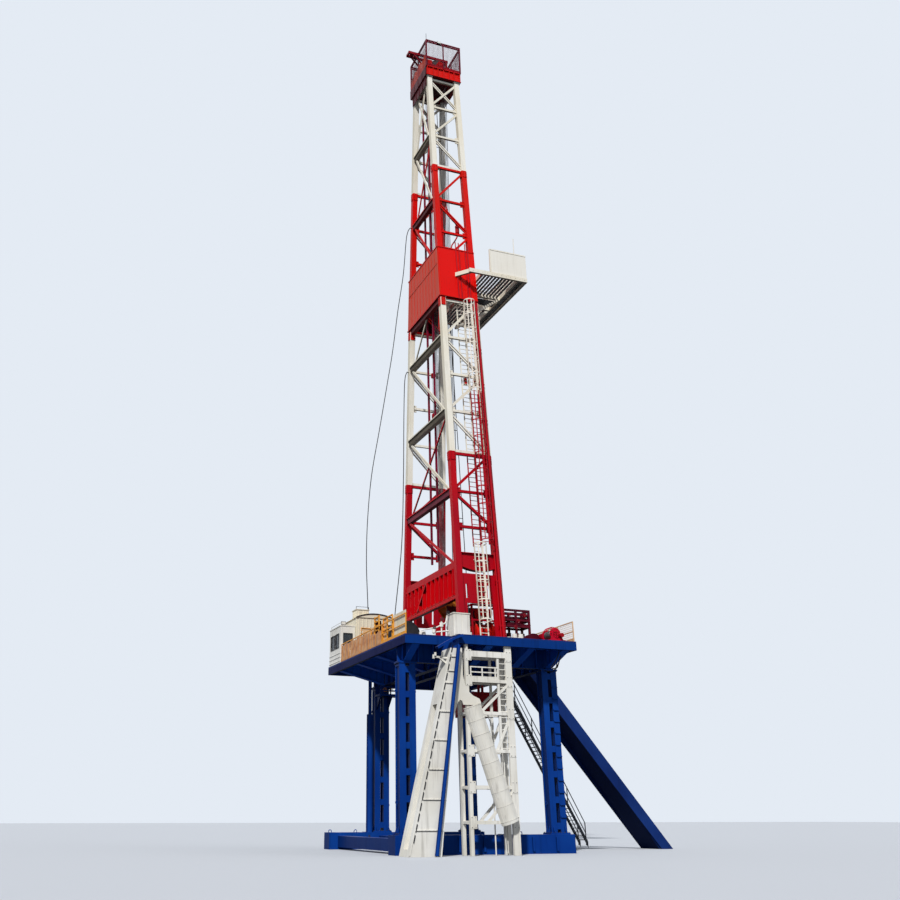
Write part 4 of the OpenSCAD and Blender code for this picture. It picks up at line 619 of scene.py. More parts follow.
# Painted sunlight: an orange red for the crown's guard sheets as they look in the sun
PAINTED_SUNLIT_ORANGE = painted("painted_sunlit_orange", (186, 62, 36), (150, 36, 26), grime_and_shade=(70, 12, 10), patch=2.2,
                        streaks=0.6, dust=0.3)
SHADED_BROWN = painted("shaded_brown", (92, 80, 60), (66, 55, 40), grime_and_shade=(34, 26, 18), patch=1.0,
                       streaks=0.3, dust=0.1)
SHADED_RED = painted("shaded_red", (92, 8, 12), (66, 6, 10), grime_and_shade=(26, 4, 6), patch=1.0, streaks=0.3,
                     dust=0.1)
SHADED_CRIMSON = painted("shaded_crimson", (118, 8, 38), (92, 6, 32), grime_and_shade=(34, 4, 12), patch=1.0,
                         streaks=0.3, dust=0.1)
# Painted shade: near black maroon for dark sheets standing where there is only shade
PAINTED_SHADE = painted("painted_shade_maroon", (40, 6, 10), (28, 5, 8), grime_and_shade=(12, 4, 5), patch=1.0, streaks=0.2,
               dust=0.0, shine=0.04)
# The rack's maroon is darker than the machines' red, as painted shade
RACK = painted("rack_maroon", (96, 8, 30), (58, 6, 26), grime_and_shade=(22, 4, 10), patch=2.2, streaks=0.4,
               dust=0.2)
RAILS = painted("guide_magenta", (128, 8, 44), (104, 8, 38), grime_and_shade=(40, 4, 14), patch=1.0, dust=0.1)
# The edge beams' blue is darker than the structure's, as painted shade, with near black rear faces
EDGE = painted("edge_blue", (12, 50, 118), (16, 60, 134), grime_and_shade=(6, 12, 30), patch=0.6, streaks=0.4,
               dust=0.0, under=0.9, back=(1, 12, 70), rear_shading_share=1.0, shine=0.02, chips=0.1)
MOTTLED = painted("mottled_tan", (214, 164, 118), (176, 112, 74), grime_and_shade=(96, 60, 36), patch=5.0,
                  streaks=0.6, dust=0.2, chips=0.5)
WINDBOX = painted("windbox_white", (246, 242, 232), (240, 234, 220), grime_and_shade=(110, 92, 70), patch=0.5,
                  streaks=0.12, chips=0.15)
LIT_BLUE = painted("lit_blue", (20, 80, 190), (30, 98, 206), grime_and_shade=(6, 16, 44), patch=1.2, streaks=0.5,
                   under=0.25, shine=0.05)
GIRDER = painted("girder_red", (206, 3, 14), (186, 5, 20), grime_and_shade=(64, 4, 12), patch=0.7, streaks=0.35,
                 dust=0.1, under=0.9, back=(206, 4, 12), rear_shading_share=0.9)
WINCH = painted("winch_crimson", (206, 12, 48), (168, 8, 36), grime_and_shade=(54, 4, 14), patch=2.4, streaks=0.5,
                dust=0.2)


def banded(made, height, high, high_faded):
    """Gives a painted material a second colour above a given height."""
    tree = made.node_tree
    weathering_and_shade = next(one for one in tree.nodes if one.type == "GROUP")
    coords = add(tree, "ShaderNodeTexCoord").outputs["Object"]
    level = add(tree, "ShaderNodeSeparateXYZ", {"Vector": coords}).outputs["Z"]
    above = calc(tree, "GREATER_THAN", level, height)
    for label, colour in (("Paint", high), ("Faded", high_faded)):
        low = tuple(weathering_and_shade.inputs[label].default_value)
        tree.links.new(blend(tree, above, low, tint(*colour)), weathering_and_shade.inputs[label])
    return made


LADDER = banded(painted("banded_ladder", *CRIMSON, grime_and_shade=(46, 4, 16), patch=0.45, streaks=0.3, gloss=0.4,
                        under=0.5), LADDER_BAND, *BAND_WHITE)
CHUTE = banded(painted("banded_chute", *TOWER, grime_and_shade=(84, 72, 58), patch=0.8, streaks=0.45, dust=0.4),
               CHUTE_BAND, *BLUE)
GIN = painted("gin_crimson", (150, 5, 22), (116, 5, 24), grime_and_shade=(40, 4, 12), patch=1.4, streaks=0.4,
              dust=0.1, under=0.9)

# Nodes that take a finish of their own in place of their slot's
OWN_FINISH = {
    "gin_pole": GIN,
    "crown_railing": SHADED_CRIMSON,
    "mast_windwall": WINDWALL,
    "board_windbox": WINDBOX,
    "guide_rails": RAILS,
    "red_ladder": LADDER,
    "panel_girder": GIRDER,
    "equipment_rack": RACK,
    "floor_winch": WINCH,
    "edge_beams": EDGE,
    "floor_cantilevers": LIT_BLUE,
    "leaning_chute": CHUTE,
}

for part in frame["record"]["subparts"]:
    for one in frame["nodes"][part["node"]].material_slots:
        one.material = OWN_FINISH.get(part["node"], FINISH[part["material_slot"]])


# Slack cables from the far rear leg
def smooth_path(points, spans):
    """A smooth curve through every point, with so many spans between each two."""
    path = []
    for i in range(len(points) - 1):
        a, b, c, d = (Vector(points[max(0, min(len(points) - 1, i + k))]) for k in (-1, 0, 1, 2))
        for k in range(spans):
            t = k / spans
            square = (2 * a - 5 * b + 4 * c - d) * t ** 2
            cube = (3 * b - a - 3 * c + d) * t ** 3
            path.append(0.5 * (2 * b + (c - a) * t + square + cube))
    return path + [Vector(points[-1])]


def slack_cable(name, node, points, spans):
    path = [p / 1000 + WELL for p in smooth_path(points, spans)]
    piece = bars(name, [path], 0.03, "cable_black", round_=True, corners=12)
    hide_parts(node)


slack_cable("long_cable", "long_line",
            [(-686.2, 1090, 21290), (-705, 1090.4, 21290), (-750, 1091.4, 21290), (-805, 1190, 21150),
             (-820, 1330, 20800), (-830, 1630, 19500), (-880, 2080, 18200), (-960, 2420, 16700),
             (-1080, 2700, 15400), (-1250, 3060, 13700), (-1450, 3330, 12000), (-1600, 3300, 10300),
             (-1690, 3120, 8800), (-1700, 2940, 7500), (-1700, 2860, 6900), (-1700, 2860, 6820),
             (-1700, 2860, 6777.6)], 6)
slack_cable("short_cable", "short_line",
            [(-702.3, 1510, 15400), (-721, 1510.4, 15400), (-765, 1511.4, 15400), (-798, 1600, 15250),
             (-800, 1690, 14800), (-800, 1770, 13600), (-800, 1860, 11400), (-800, 2076, 9180),
             (-800, 2700, 7124), (-820, 2910, 6200), (-845, 2965, 5600), (-860, 2910, 5330),
             (-870, 2810, 5272), (-880, 2700, 5265.6)], 6)


# The mast
SPLICES = [(6.0, "mast_crimson"), (11.7, "mast_red"), (17.55, "mast_red")]
SIDES = [(sx, sy) for sx in (-1, 1) for sy in (-1, 1)]
SHADE = {"mast_crimson": SHADED_CRIMSON, "mast_white": SHADED_BROWN, "mast_red": SHADED_RED}


def band_of(level):
    """The slot of the paint band that a level of the bracing lies in."""
    if level < 5:
        return "mast_crimson"
    return "mast_red" if 8 < level < 13 else "mast_white"


def leg_splices():
    """Splice plates and their bolts round every leg where two mast sections are pinned together."""
    high = 0.30
    wide = 0.152
    thick = 0.018
    columns = (-0.048, 0.048)
    rows = (-0.11, -0.04, 0.04, 0.11)
    for up, slot in SPLICES:
        covers = []
        bolts = []
        for sx, sy in SIDES:
            turn = Euler((sy * LEAN, 0, 0))
            middle = leg(sx, sy, up - high / 2 - 0.004)
            for nx, ny in ((1, 0), (-1, 0), (0, 1), (0, -1)):
                outward = turn.to_matrix() @ Vector((nx, ny, 0))
                across = turn.to_matrix() @ Vector((-ny, nx, 0))
                along = turn.to_matrix() @ Vector(UP)
                centre = middle + outward * (LEG / 2 + thick / 2)
                covers.append((centre, turn, (thick if nx else wide, thick if ny else wide, high)))
                face = centre + outward * thick / 2
                for a in columns:
                    for b in rows:
                        bolts.append(fixing(face + across * a + along * b, outward))
        label = f"splice_{round(up * 10)}"
        set_out(f"{label}_plates", BLOCK, covers, slot)
        set_out(f"{label}_bolts", BOLT, bolts, slot, scale=0.013)


def gusset_bolts():
    """Bolts of the plates where the side bracing meets the legs."""
    bare_levels = (5, 9, 13)
    plate_face = 0.012
    by_slot = {"mast_crimson": [], "mast_white": [], "mast_red": []}
    for i in range(4, 16):
        if i in bare_levels:
            continue
        for sx, sy in SIDES:
            middle = leg(sx, sy, LEVELS[i]) - Vector((sx * (LEG / 2 + 0.055), 0, 0))
            for dx in (-0.042, 0.0, 0.042):
                for dz in (-0.095, 0.095):
                    for face in (-1, 1):
                        place = middle + Vector((dx, face * plate_face, dz))
                        by_slot[band_of(i)].append(fixing(place, (0, face, 0)))
    for slot, places in by_slot.items():
        set_out(f"gusset_bolts_{slot[5:]}", BOLT, places, slot, scale=0.011)


def windwall_side(up, proud):
    """Half the width over the legs at a height, plus how proud of it the windwall's fitting stands."""
    return half_w(up) + LEG_SIDE + proud


def windwall_fixings():
    """Screws, edge angles and pipes of the racking windwall, and dark sheets inside it that stand for
    painted shade.
    """
    deep = half_d(13.82) + LEG / 2
    back = -half_d(11.76) - LEG_SIDE - 0.0247
    lap = 0.009
    screws = []
    for sy in (-1, 1):
        for up in [11.84 + 0.24 * k for k in range(9)]:
            y = sy * windwall_side(up, 0.024)
            for x in (-deep + 0.05, -deep / 2, deep - 0.05):
                screws.append(fixing(at(x, y, FLOOR + up), (0, sy, 0)))
    for up, out in ((11.82, 0.0), (13.10, lap), (13.16, lap), (13.76, 0.0)):
        for k in range(-9, 10):
            screws.append(fixing(at(back - out, k * 0.14, FLOOR + up), BACK))
    set_out("windwall_screws", BOLT, screws, "mast_red", scale=0.009)
    trims = []
    for up in (11.78, 13.80):
        y = windwall_side(up, 0.03)
        z = FLOOR + up
        trims.append([at(-deep, -y, z), at(deep, -y, z)])
        trims.append([at(-deep, y, z), at(deep, y, z)])
        trims.append([at(back, -y, z), at(back, y, z)])
    bars("windwall_trims", trims, 0.03, "mast_red", depth=0.045)
    pipes = []
    for x in (-0.02, 0.1, 0.34, 0.43):
        pipes.append([at(x, -windwall_side(up, 0.045), FLOOR + up) for up in (11.74, 14.1)])
    bars("windwall_pipes", pipes, 0.036, "mast_crimson", round_=True)
    # Dark sheets just inside the windwall's sides, painted as the shade there
    shade_sheets = []
    for sy in (-1, 1):
        for up in (12.25, 13.29):
            middle = at(0, sy * (half_w(up) + 0.086), FLOOR + up)
            shade_sheets.append((middle, Euler((sy * LEAN, 0, 0)), (0.96, 0.008, 1.03)))
    refinish(set_out("windwall_lining", PLATE, shade_sheets, "mast_red"), PAINTED_SHADE)


def girt_flanges():
    """Top flanges of the back girts and the webs in their shade."""
    web_top = 0.065
    half_high = 0.104
    lip = 0.042
    webs = {slot: [] for slot in SHADE}
    lips = {slot: [] for slot in SHADE}
    for i in (4, 6, 8, 9, 12, 14):
        up = LEVELS[i]
        slot = band_of(i)
        x = -half_d(up) - 0.0735
        y = half_w(up + 0.105) - 0.102
        z = FLOOR + up
        webs[slot].append((x - 0.005, -y, z - half_high, x - 0.0005, y, z + web_top))
        lips[slot].append((x - lip, -y, z + web_top, x - 0.0005, y, z + half_high))
    for slot, shade in SHADE.items():
        refinish(plates(f"girt_webs_{slot[5:]}", webs[slot], slot), shade)
        plates(f"girt_lips_{slot[5:]}", lips[slot], slot)


def small_wheel(form):
    bmesh.ops.create_cone(form, cap_ends=True, segments=20, radius1=0.075, radius2=0.075, depth=0.05)


def hanging_sheave():
    """The small block that hangs between the legs on its own wire, and the second one under it."""
    x, y = 0.06, 1.06
    upper, lower = 15.20, 13.62
    wire = [[at(x, y, FLOOR + 21.9), at(x, y, upper + 0.08)]]
    wire += [[at(x + side, y, upper - 0.1), at(x + side, y, lower + 0.1)] for side in (-0.02, 0.02)]
    bars("tugger_wire", wire, 0.012, "wire_rope", round_=True, corners=8)
    cheeks = []
    bolts = []
    for z, tall in ((upper, 0.17), (lower, 0.22)):
        for s in (-1, 1):
            cheeks.append((at(x, y + s * 0.035, z), FLAT, (0.13, 0.018, tall)))
            bolts.append(fixing(at(x, y + s * 0.044, z), (0, s, 0)))
    cheeks.append((at(x, y, lower - 0.17), FLAT, (0.05, 0.05, 0.12)))
    set_out("tugger_cheeks", BLOCK, cheeks, "mast_crimson")
    set_out("tugger_bolts", BOLT, bolts, "machine_grey", scale=0.022)
    wheels = [fixing(at(x, y, z), FAR) for z in (upper, lower)]
    set_out("tugger_wheels", shape_object("small_wheel", small_wheel), wheels, "machine_grey")


# The crown
def crown_mesh():
    """Wire mesh and kick plates in the crown's guard rail, open at the back for the gin pole."""
    low = CREST + 0.01
    high = CREST + 1.29
    pole_half = 0.16
    pole_low, pole_high = 1.05, 1.22
    pitch = 0.055
    wires = []
    kicks = []
    for s in (-1, 1):
        side = s * (RAIL_DEEP - 0.02)
        for k in range(1, int(2 * RAIL_DEEP / pitch) + 1):
            x = -RAIL_DEEP + k * pitch
            wires.append([at(x, s * RAIL_WIDE, low), at(x, s * RAIL_WIDE, high)])
        for k in range(1, int(2 * RAIL_WIDE / pitch) + 1):
            y = -RAIL_WIDE + k * pitch
            under_pole = s < 0 and abs(y) < pole_half
            wires.append([at(side, y, low), at(side, y, CREST + pole_low if under_pole else high)])
        for k in range(1, int((high - low) / pitch)):
            z = low + k * pitch
            wires.append([at(-RAIL_DEEP, s * RAIL_WIDE, z), at(RAIL_DEEP, s * RAIL_WIDE, z)])
            if s > 0 or not pole_low < z - CREST < pole_high:
                wires.append([at(side, -RAIL_WIDE, z), at(side, RAIL_WIDE, z)])
        level = CREST + 0.07
        kicks.append((at(0, s * (RAIL_WIDE - 0.026), level), FLAT, (2 * RAIL_DEEP - 0.1, 0.012, 0.13)))
        kicks.append((at(s * (RAIL_DEEP - 0.05), 0, level), FLAT, (0.012, 2 * RAIL_WIDE - 0.1, 0.13)))
    refinish(bars("crown_mesh", wires, 0.009, "mast_crimson", round_=True, corners=4), SHADED_CRIMSON)
    set_out("crown_kick_plates", BLOCK, kicks, "mast_crimson")


def crown_fittings():
    """Ropes over the crown sheaves, bearing bolts, the lamp on the rail and the lightning rod."""
    axle = CREST + 0.54
    rope_radius = 0.317
    bearing_radius = 0.09
    ropes = []
    for i in range(6):
        y = (i - 2.5) * 0.12
        ropes.append([at(rope_radius * math.cos(a), y, axle + rope_radius * math.sin(a))
                      for a in [math.pi * k / 18 for k in range(19)]])
    bars("crown_ropes", ropes, 0.024, "wire_rope", round_=True, corners=8)
    bolts = []
    chord = CREST - 0.09
    for s in (-1, 1):
        for k in range(8):
            a = math.pi * k / 4
            middle = at(bearing_radius * math.cos(a), s * 0.53, axle + bearing_radius * math.sin(a))
            bolts.append(fixing(middle, (0, s, 0)))
        for k in range(-6, 7):
            bolts.append(fixing(at(k * 0.11, s * (RAIL_WIDE - 0.054), chord), (0, s, 0)))
            bolts.append(fixing(at(s * (RAIL_DEEP - 0.054), k * 0.12, chord), (s, 0, 0)))
    set_out("crown_bolts", BOLT, bolts, "mast_red", scale=0.014)
    rod_x = -RAIL_DEEP + 0.02
    rod = [at(rod_x, -RAIL_WIDE, CREST + 1.30), at(rod_x, -RAIL_WIDE, CREST + 1.62)]
    bars("lightning_rod", [rod], 0.018, "machine_grey", round_=True, corners=8)
    flood_lamps("crown_lamps", [(at(-0.2, -RAIL_WIDE - 0.045, CREST + 1.26), 0.0)])


def crown_plates():
    """The crown's underside with its rope slots, its aprons, guard sheets, pole posts and lockers."""
    z = FLOOR + MAST_H
    deep = half_d(MAST_H) + 0.05
    wide = half_w(MAST_H) + 0.05
    slot_x, slot_y = 0.37, 0.36
    low, high = z + 0.02, z + 0.034
    soffit = []
    for s in (-1, 1):
        soffit.append((s * slot_x, -wide, low, s * deep, wide, high))
        soffit.append((-slot_x, s * slot_y, low, slot_x, s * wide, high))
        soffit.append((s * 0.372, -slot_y, high, s * 0.36, slot_y, z + 0.30))
    soffit.append((-0.27, -slot_y, low, 0.27, slot_y, high))
    refinish(plates("crown_soffit", soffit, "mast_crimson"), SHADED_MAROON)
    x = -half_d(MAST_H) - LEG / 2 - 0.03
    beam = -0.7600
    apron = [(x - 0.012, -wide - 0.01, z - 0.44, x, wide + 0.01, z + 0.012),
             (beam, -0.825, z, -0.7445, 0.835, z + 0.43)]
    apron += [(x - 0.03, -0.66 + 0.33 * k, z - 0.44, x - 0.012, -0.64 + 0.33 * k, z) for k in range(5)]
    apron += [(beam - 0.01, -0.80 + 0.4 * k, z + 0.01, beam, -0.78 + 0.4 * k, z + 0.42) for k in range(5)]
    refinish(plates("crown_apron", apron, "mast_crimson"), SHADED_MAROON)
    sheets = []
    for k in range(6):
        y = -0.80 + 0.27 * k
        sheets.append((-0.738, y, CREST + 0.005, -0.728, y + 0.24, CREST + 0.62 - 0.1 * (k % 2)))
    # The guard sheets take an orange red as painted sunlight
    refinish(plates("crown_guard_sheets", sheets, "mast_red"), PAINTED_SUNLIT_ORANGE)
    post = [[at(s * 0.45, 0, CREST), at(s * 0.45, 0, CREST + 1.09)] for s in (-1, 1)]
    post += [[at(s * 0.45, -0.14, CREST), at(s * 0.45, -0.04, CREST + 0.7)] for s in (1, -1)]
    bars("gin_pole_post", post, 0.12, "mast_red")
    lockers = [(-0.64, -0.72, CREST, -0.44, -0.50, CREST + 0.42),
               (-0.66, 0.22, CREST, -0.46, 0.44, CREST + 0.34)]
    plates("crown_lockers", lockers, "mast_red")


# Lamps of the rig
def lamp_case(form):
    """A housing that narrows towards its back."""
    bmesh.ops.create_cube(form, size=1.0)
    for vertex in form.verts:
        narrow = 0.7 if vertex.co.y > 0 else 1.0
        vertex.co = Vector((vertex.co.x * 0.17 * narrow, vertex.co.y * 0.07, vertex.co.z * 0.12 * narrow))
    bmesh.ops.bevel(form, geom=form.edges[:], offset=0.008, segments=2, affect="EDGES")


def lamp_lens(form):
    bmesh.ops.create_cube(form, size=1.0)
    for vertex in form.verts:
        vertex.co = Vector((vertex.co.x * 0.14, vertex.co.y * 0.012 - 0.037, vertex.co.z * 0.09))
    bmesh.ops.bevel(form, geom=form.edges[:], offset=0.004, segments=2, affect="EDGES")


LAMP_CASE = shape_object("lamp_case", lamp_case)
LAMP_LENS = shape_object("lamp_lens", lamp_lens)


def flood_lamps(name, places):
    """Floodlights: a case, a pale lens and a short bracket down to what carries each."""
    turns = [(point, Euler((0, 0, turn)), FULL) for point, turn in places]
    set_out(f"{name}_cases", LAMP_CASE, turns, "machine_grey")
    set_out(f"{name}_lenses", LAMP_LENS, turns, "tower_white")
    brackets = [[point, point - Vector((0, 0, 0.09))] for point, _ in places]
    bars(f"{name}_brackets", brackets, 0.022, "machine_grey")


# The racking board and what hangs in the mast
def board_fittings():
    """Handrails of the board, finger latches, the edge angles of its box and the bolts of its frame."""
    walk = BOARD + 0.15
    x0 = half_d(BOARD_UP) + LEG / 2
    x1 = x0 + 1.75
    rails = []
    for s in (-1, 1):
        y = s * 0.22
        for x in (x0 + 0.25, x0 + 0.8, x0 + 1.3):
            rails.append([at(x, y, BOARD + 0.07), at(x, y, walk + 0.42)])
        for up in (0.22, 0.42):
            rails.append([at(x0 + 0.25, y, walk + up), at(x0 + 1.3, y, walk + up)])
    bars("board_handrails", rails, 0.024, "mast_white", round_=True)
    first = x0 + 0.0903
    pitch = (x1 - 0.36 - first) / 10
    latches = []
    for k in range(1, 10):
        for s in (-1, 1):
            for j in range(9):
                middle = at(first + k * pitch, s * (0.55 + j * 0.145), BOARD + 0.122)
                latches.append((middle, FLAT, (0.03, 0.03, 0.024)))
    set_out("finger_latches", BLOCK, latches, "machine_red")
    box_x = x0 + 0.35
    box_y = 1.9
    top = walk + 0.93
    trims = []
    for s in (-1, 1):
        trims.append([at(box_x, s * box_y, top), at(x1, s * box_y, top)])
        trims.append([at(box_x, s * box_y, BOARD + 0.17), at(box_x, s * box_y, top)])
    trims.append([at(x1 - 0.015, -box_y, top), at(x1 - 0.015, box_y, top)])
    bars("box_edge_angles", trims, 0.05, "mast_white")
    bolts = []
    for s in (-1, 1):
        for k in range(12):
            bolts.append(fixing(at(0.35 + k * 0.18, s * 1.945, BOARD + 0.075), (0, s, 0)))
    for k in range(-12, 13):
        bolts.append(fixing(at(x1, k * 0.15, BOARD + 0.075), FRONT))
    set_out("board_bolts", BOLT, bolts, "mast_white", scale=0.012)


def mast_tackle():
    """The bent hose with its swivel inside the upper red panel, and the valves beside the ladder."""
    y = -1.0
    upper = [(-0.165, 21.1), (-0.098, 20.768), (0.0, 20.6), (0.093, 20.509), (0.19, 20.42), (0.244, 20.286)]
    lower = [(0.26, 20.0), (0.23, 19.84), (0.145, 19.666), (0.02, 19.46), (-0.021, 19.3), (-0.021, 19.0)]
    hose = [at(-0.17, -half_w(16.0) + 0.06, 21.225)] + [at(x, y, z) for x, z in upper]
    tail = [at(x, y, z) for x, z in lower]
    bars("tackle_hose", [hose, tail], 0.05, "mast_crimson", round_=True, corners=10)
    swivel = [((0.25, y, 20.15), UP, 0.075, 0.3), ((0.25, y, 20.33), FAR, 0.05, 0.2)]
    drums("tackle_swivel", swivel, "mast_crimson")
    inner, outer = 0.126, 0.46
    leg_y, valve_y, wheel_y = -half_w(8.8) + 0.05, -1.45, -1.50
    arms = [[at(x, leg_y, 14.06), at(x, valve_y, 14.06), at(x, valve_y, 13.82)] for x in (inner, outer)]
    bars("ladder_valve_pipes", arms, 0.04, "mast_white", round_=True, corners=8)
    bodies = [((x, valve_y, z), UP, 0.06, 0.1) for x in (inner, outer) for z in (13.98, 13.86)]
    drums("ladder_valves", bodies, "mast_red")
    wheels = [((inner, wheel_y, 14.02), NEAR, 0.085), ((inner, wheel_y, 13.83), NEAR, 0.07)]
    handwheels("ladder_handwheels", wheels, "mast_white")
    wheels = [((outer, wheel_y, 14.05), NEAR, 0.085), ((outer, wheel_y, 13.86), NEAR, 0.075)]
    handwheels("side_handwheels", wheels, "mast_red")


# The floor and the substructure
COLUMN_ROW = 2.75
COLUMNS = [(-2.6, -COLUMN_ROW), (-1.3, COLUMN_ROW), (1.68, -COLUMN_ROW), (1.68, COLUMN_ROW)]
CROSS_GIRDERS = [-1.3, -0.635, 0.635, 1.68]


def floor_framing():
    """Joists under the deck and the stiffeners of the floor's girders."""
    level = 5.162
    well_bay = (-0.53, 0.53)
    bays = [(-2.85, -1.405), (-1.195, -0.74), well_bay, (0.74, 1.575)]
    rows = []
    for k in range(-5, 6):
        y = k * 0.5 - 0.1
        rows.append((y, [bay for bay in bays if abs(y) > 0.55 or bay != well_bay]))
    rows.append((-3.22, [(-2.49, -1.71), (-1.495, -0.74), well_bay, (0.74, 1.575)]))
    rows.append((2.98, [(-1.195, 0.53), (0.74, 1.575)]))
    joists = [[at(x0, y, level), at(x1, y, level)] for y, row in rows for x0, x1 in row]
    refinish(bars("floor_joists", joists, 0.05, "structure_blue", depth=0.095), LIT_BLUE)
    low, high = 4.674, 5.186
    web, flange = 0.012, 0.096
    half = 0.007
    ribs = []
    for side, start in ((-1, -2.7), (1, -1.4)):
        x = start
        y = side * COLUMN_ROW
        while x < 1.8:
            for s in (-1, 1):
                ribs.append((x - half, y + s * web, low, x + half, y + s * flange, high))
            x += 0.45
    for x in CROSS_GIRDERS:
        for k in range(-5, 6):
            y = k * 0.5 + 0.05
            for s in (-1, 1):
                ribs.append((x + s * web, y - half, low, x + s * flange, y + half, high))
    refinish(plates("girder_ribs", ribs, "structure_blue"), LIT_BLUE)


def column_fixings():
    """Anchor bolts, corner plates and lifting eyes of the columns."""
    foot, head = 0.49, 4.61
    foot_bolts = ((0.265, 0.18), (0.265, 0.06), (0.14, 0.18), (0.03, 0.18))
    gusset = (0.055, 0.02, 0.16)
    bolts = []
    corners = []
    eyes = []
    for x, y in COLUMNS:
        for sx in (-1, 1):
            for sy in (-1, 1):
                for dx, dy in foot_bolts:
                    bolts.append(((x + sx * dx, y + sy * dy, foot), UP))
                    bolts.append(((x + sx * min(dx, 0.24), y + sy * min(dy, 0.145), head), DOWN))
            outward = Euler((0, 0, 0 if sx > 0 else math.pi))
            for dy in (-0.06, 0.06):
                corners.append((at(x + sx * 0.235, y + dy, foot), outward, gusset))
            for dx in (-0.17, 0.17):
                corners.append((at(x + dx, y + sx * 0.15, foot), Euler((0, 0, sx * math.pi / 2)), gusset))
            for z in (3.9, 1.2):
                eyes.append(ring((x + sx * 0.262, y, z), FAR, 0.035, 12))
    studs("column_bolts", bolts, "machine_grey", 0.016)
    set_out("column_corner_plates", GUSSET, corners, "structure_blue")
    bars("column_eyes", eyes, 0.018, "structure_blue", round_=True, corners=6)


def base_fittings():
    """Lifting eyes, end flanges and pin joints of the two ground boxes."""
    half = 0.262
    eyes = []
    flanges = []
    pins = []
    for s in (-1, 1):
        y = s * COLUMN_ROW
        for x in (-2.9, -2.1, -0.5, 0.6, 1.95):
            eyes.append(ring((x, y, 0.475), FAR, 0.045, 14))
        for x in (-1.75, 0.1):
            for e in (-0.03, 0.03):
                flanges.append((x + e - 0.012, y - half, 0.03, x + e + 0.012, y + half, 0.462))
            for z in (0.1, 0.35):
                for side in (-1, 1):
                    pins.append(((x, y + side * (half - 0.006), z), (0, side, 0), 0.028, 0.03))
    bars("base_eyes", eyes, 0.022, "structure_blue", round_=True, corners=8)
    plates("base_flanges", flanges, "structure_blue")
    drums("base_pins", pins, "machine_grey")


def chute_back(z):
    """The leaning chute's back edge at a height."""
    return -3.09 + 0.251 * z


def chute_front(z):
    """The leaning chute's front edge at a height."""
    return -2.23 + 0.125 * z


def chute_fittings():
    """The dashed seam of the chute, its bolted joints, and the arm and the cover at its top."""
    face = -4.122
    dashes = []
    z = 0.3
    while z < 4.85:
        dashes.append([at(chute_back(v) + 0.055, face, v) for v in (z, z + 0.17)])
        z += 0.235
    bars("chute_seam", dashes, 0.02, "machine_grey", depth=0.014)
    across = 6
    lines = []
    bolts = []
    for z in (0.56, 1.24, 1.92, 2.6, 3.28, 3.979, 4.279, 4.64):
        back = chute_back(z) + 0.08
        front = chute_front(z) - 0.06
        lines.append([at(back, face - 0.0005, z - 0.004), at(front, face - 0.0005, z - 0.004)])
        for k in range(across + 1):
            bolts.append(((back + (front - back) * k / across, face, z + 0.014), NEAR))
    bars("chute_joints", lines, 0.012, "machine_grey", depth=0.008)
    studs("chute_bolts", bolts, "tower_white", 0.008)
    hub = at(-1.93, -4.0, 4.62)
    strokes = [((0.05, 0.0), (-0.36, 0.02)), ((0.02, -0.16), (-0.2, 0.0)), ((-0.12, 0.02), (-0.12, 0.15)),
               ((-0.32, 0.0), (-0.32, 0.13)), ((-0.37, -0.03), (-0.37, 0.07))]
    arm = [[hub + Vector((x, 0, z)) for x, z in stroke] for stroke in strokes]
    bars("chute_arm", arm, 0.045, "tower_white")
    cover = [at(x, -4.13, z) for x, z in ((-1.53, 5.2), (-1.77, 5.11), (-2.0, 4.99), (-2.26, 4.84))]
    bars("chute_cover", [cover], 0.18, "structure_blue", depth=0.06)


def trough_point(along, turn, radius):
    """A point on the round trough: so far down its axis, and so far round it."""
    run, fall = 0.3256, 0.9455
    x = -1.27 + run * along - fall * radius * math.cos(turn)
    z = 3.47 - fall * along - run * radius * math.cos(turn)
    return at(x, -3.9906 - radius * math.sin(turn), z)


def trough_fittings():
    """Hoops round the trough below the chute, and the seams along it."""
    hoops = []
    for k in range(9):
        hoops.append([trough_point(0.02 + 0.35 * k, math.pi * j / 12, 0.238) for j in range(13)])
    for turn in (0.5, 1.1, 1.7, 2.3, 2.8):
        hoops.append([trough_point(along, turn, 0.237) for along in (0.0, 2.88)])
    bars("trough_hoops", hoops, 0.012, "tower_white", round_=True, corners=6)


def tower_fittings():
    """Hoses and pipes that run up the tower, joint plates and the deck's kick board."""
    near_pipe, far_pipe = -3.79, -3.75
    runs = [[at(x, near_pipe, 0.05), at(x, near_pipe, 4.7)] for x in (-0.30, -0.36)]
    bent = ((-0.62, 0.0), (-0.62, 3.1), (-0.7, 3.3), (-0.86, 3.42))
    runs.append([at(x, far_pipe, z) for x, z in bent])
    bars("tower_pipes", runs, 0.035, "tower_white", round_=True, corners=10)
    face = -3.998
    joints = []
    bolts = []
    for z in (0.7, 1.5, 2.35, 3.26, 4.06, 4.7):
        for x in (-1.4, -0.225):
            joints.append((x, face, z - 0.1, x + 0.18, face + 0.0075, z + 0.18))
            for dx in (0.04, 0.14):
                for dz in (-0.07, 0.15):
                    bolts.append(((x + dx, face, z + dz), NEAR))
    plates("tower_joint_plates", joints, "tower_white")
    studs("tower_bolts", bolts, "machine_grey", 0.009)
    plates("tower_kick_board", [(-1.25, -3.985, 4.14, -0.46, -3.973, 4.21)], "tower_white")


def stair_fittings():
    """White nosings on the steps of the ground stairs."""
    steps = 46
    head_x, head_z = 1.9503, 5.23
    run, drop = 2.8497, 5.04
    strips = []
    for i in range(1, steps):
        x = head_x + run * i / steps
        z = head_z - drop * i / steps - 0.064
        strips.append((x + 0.034, 0.913, z, x + 0.062, 1.337, z + 0.006))
    plates("stair_nosings", strips, "tower_white")


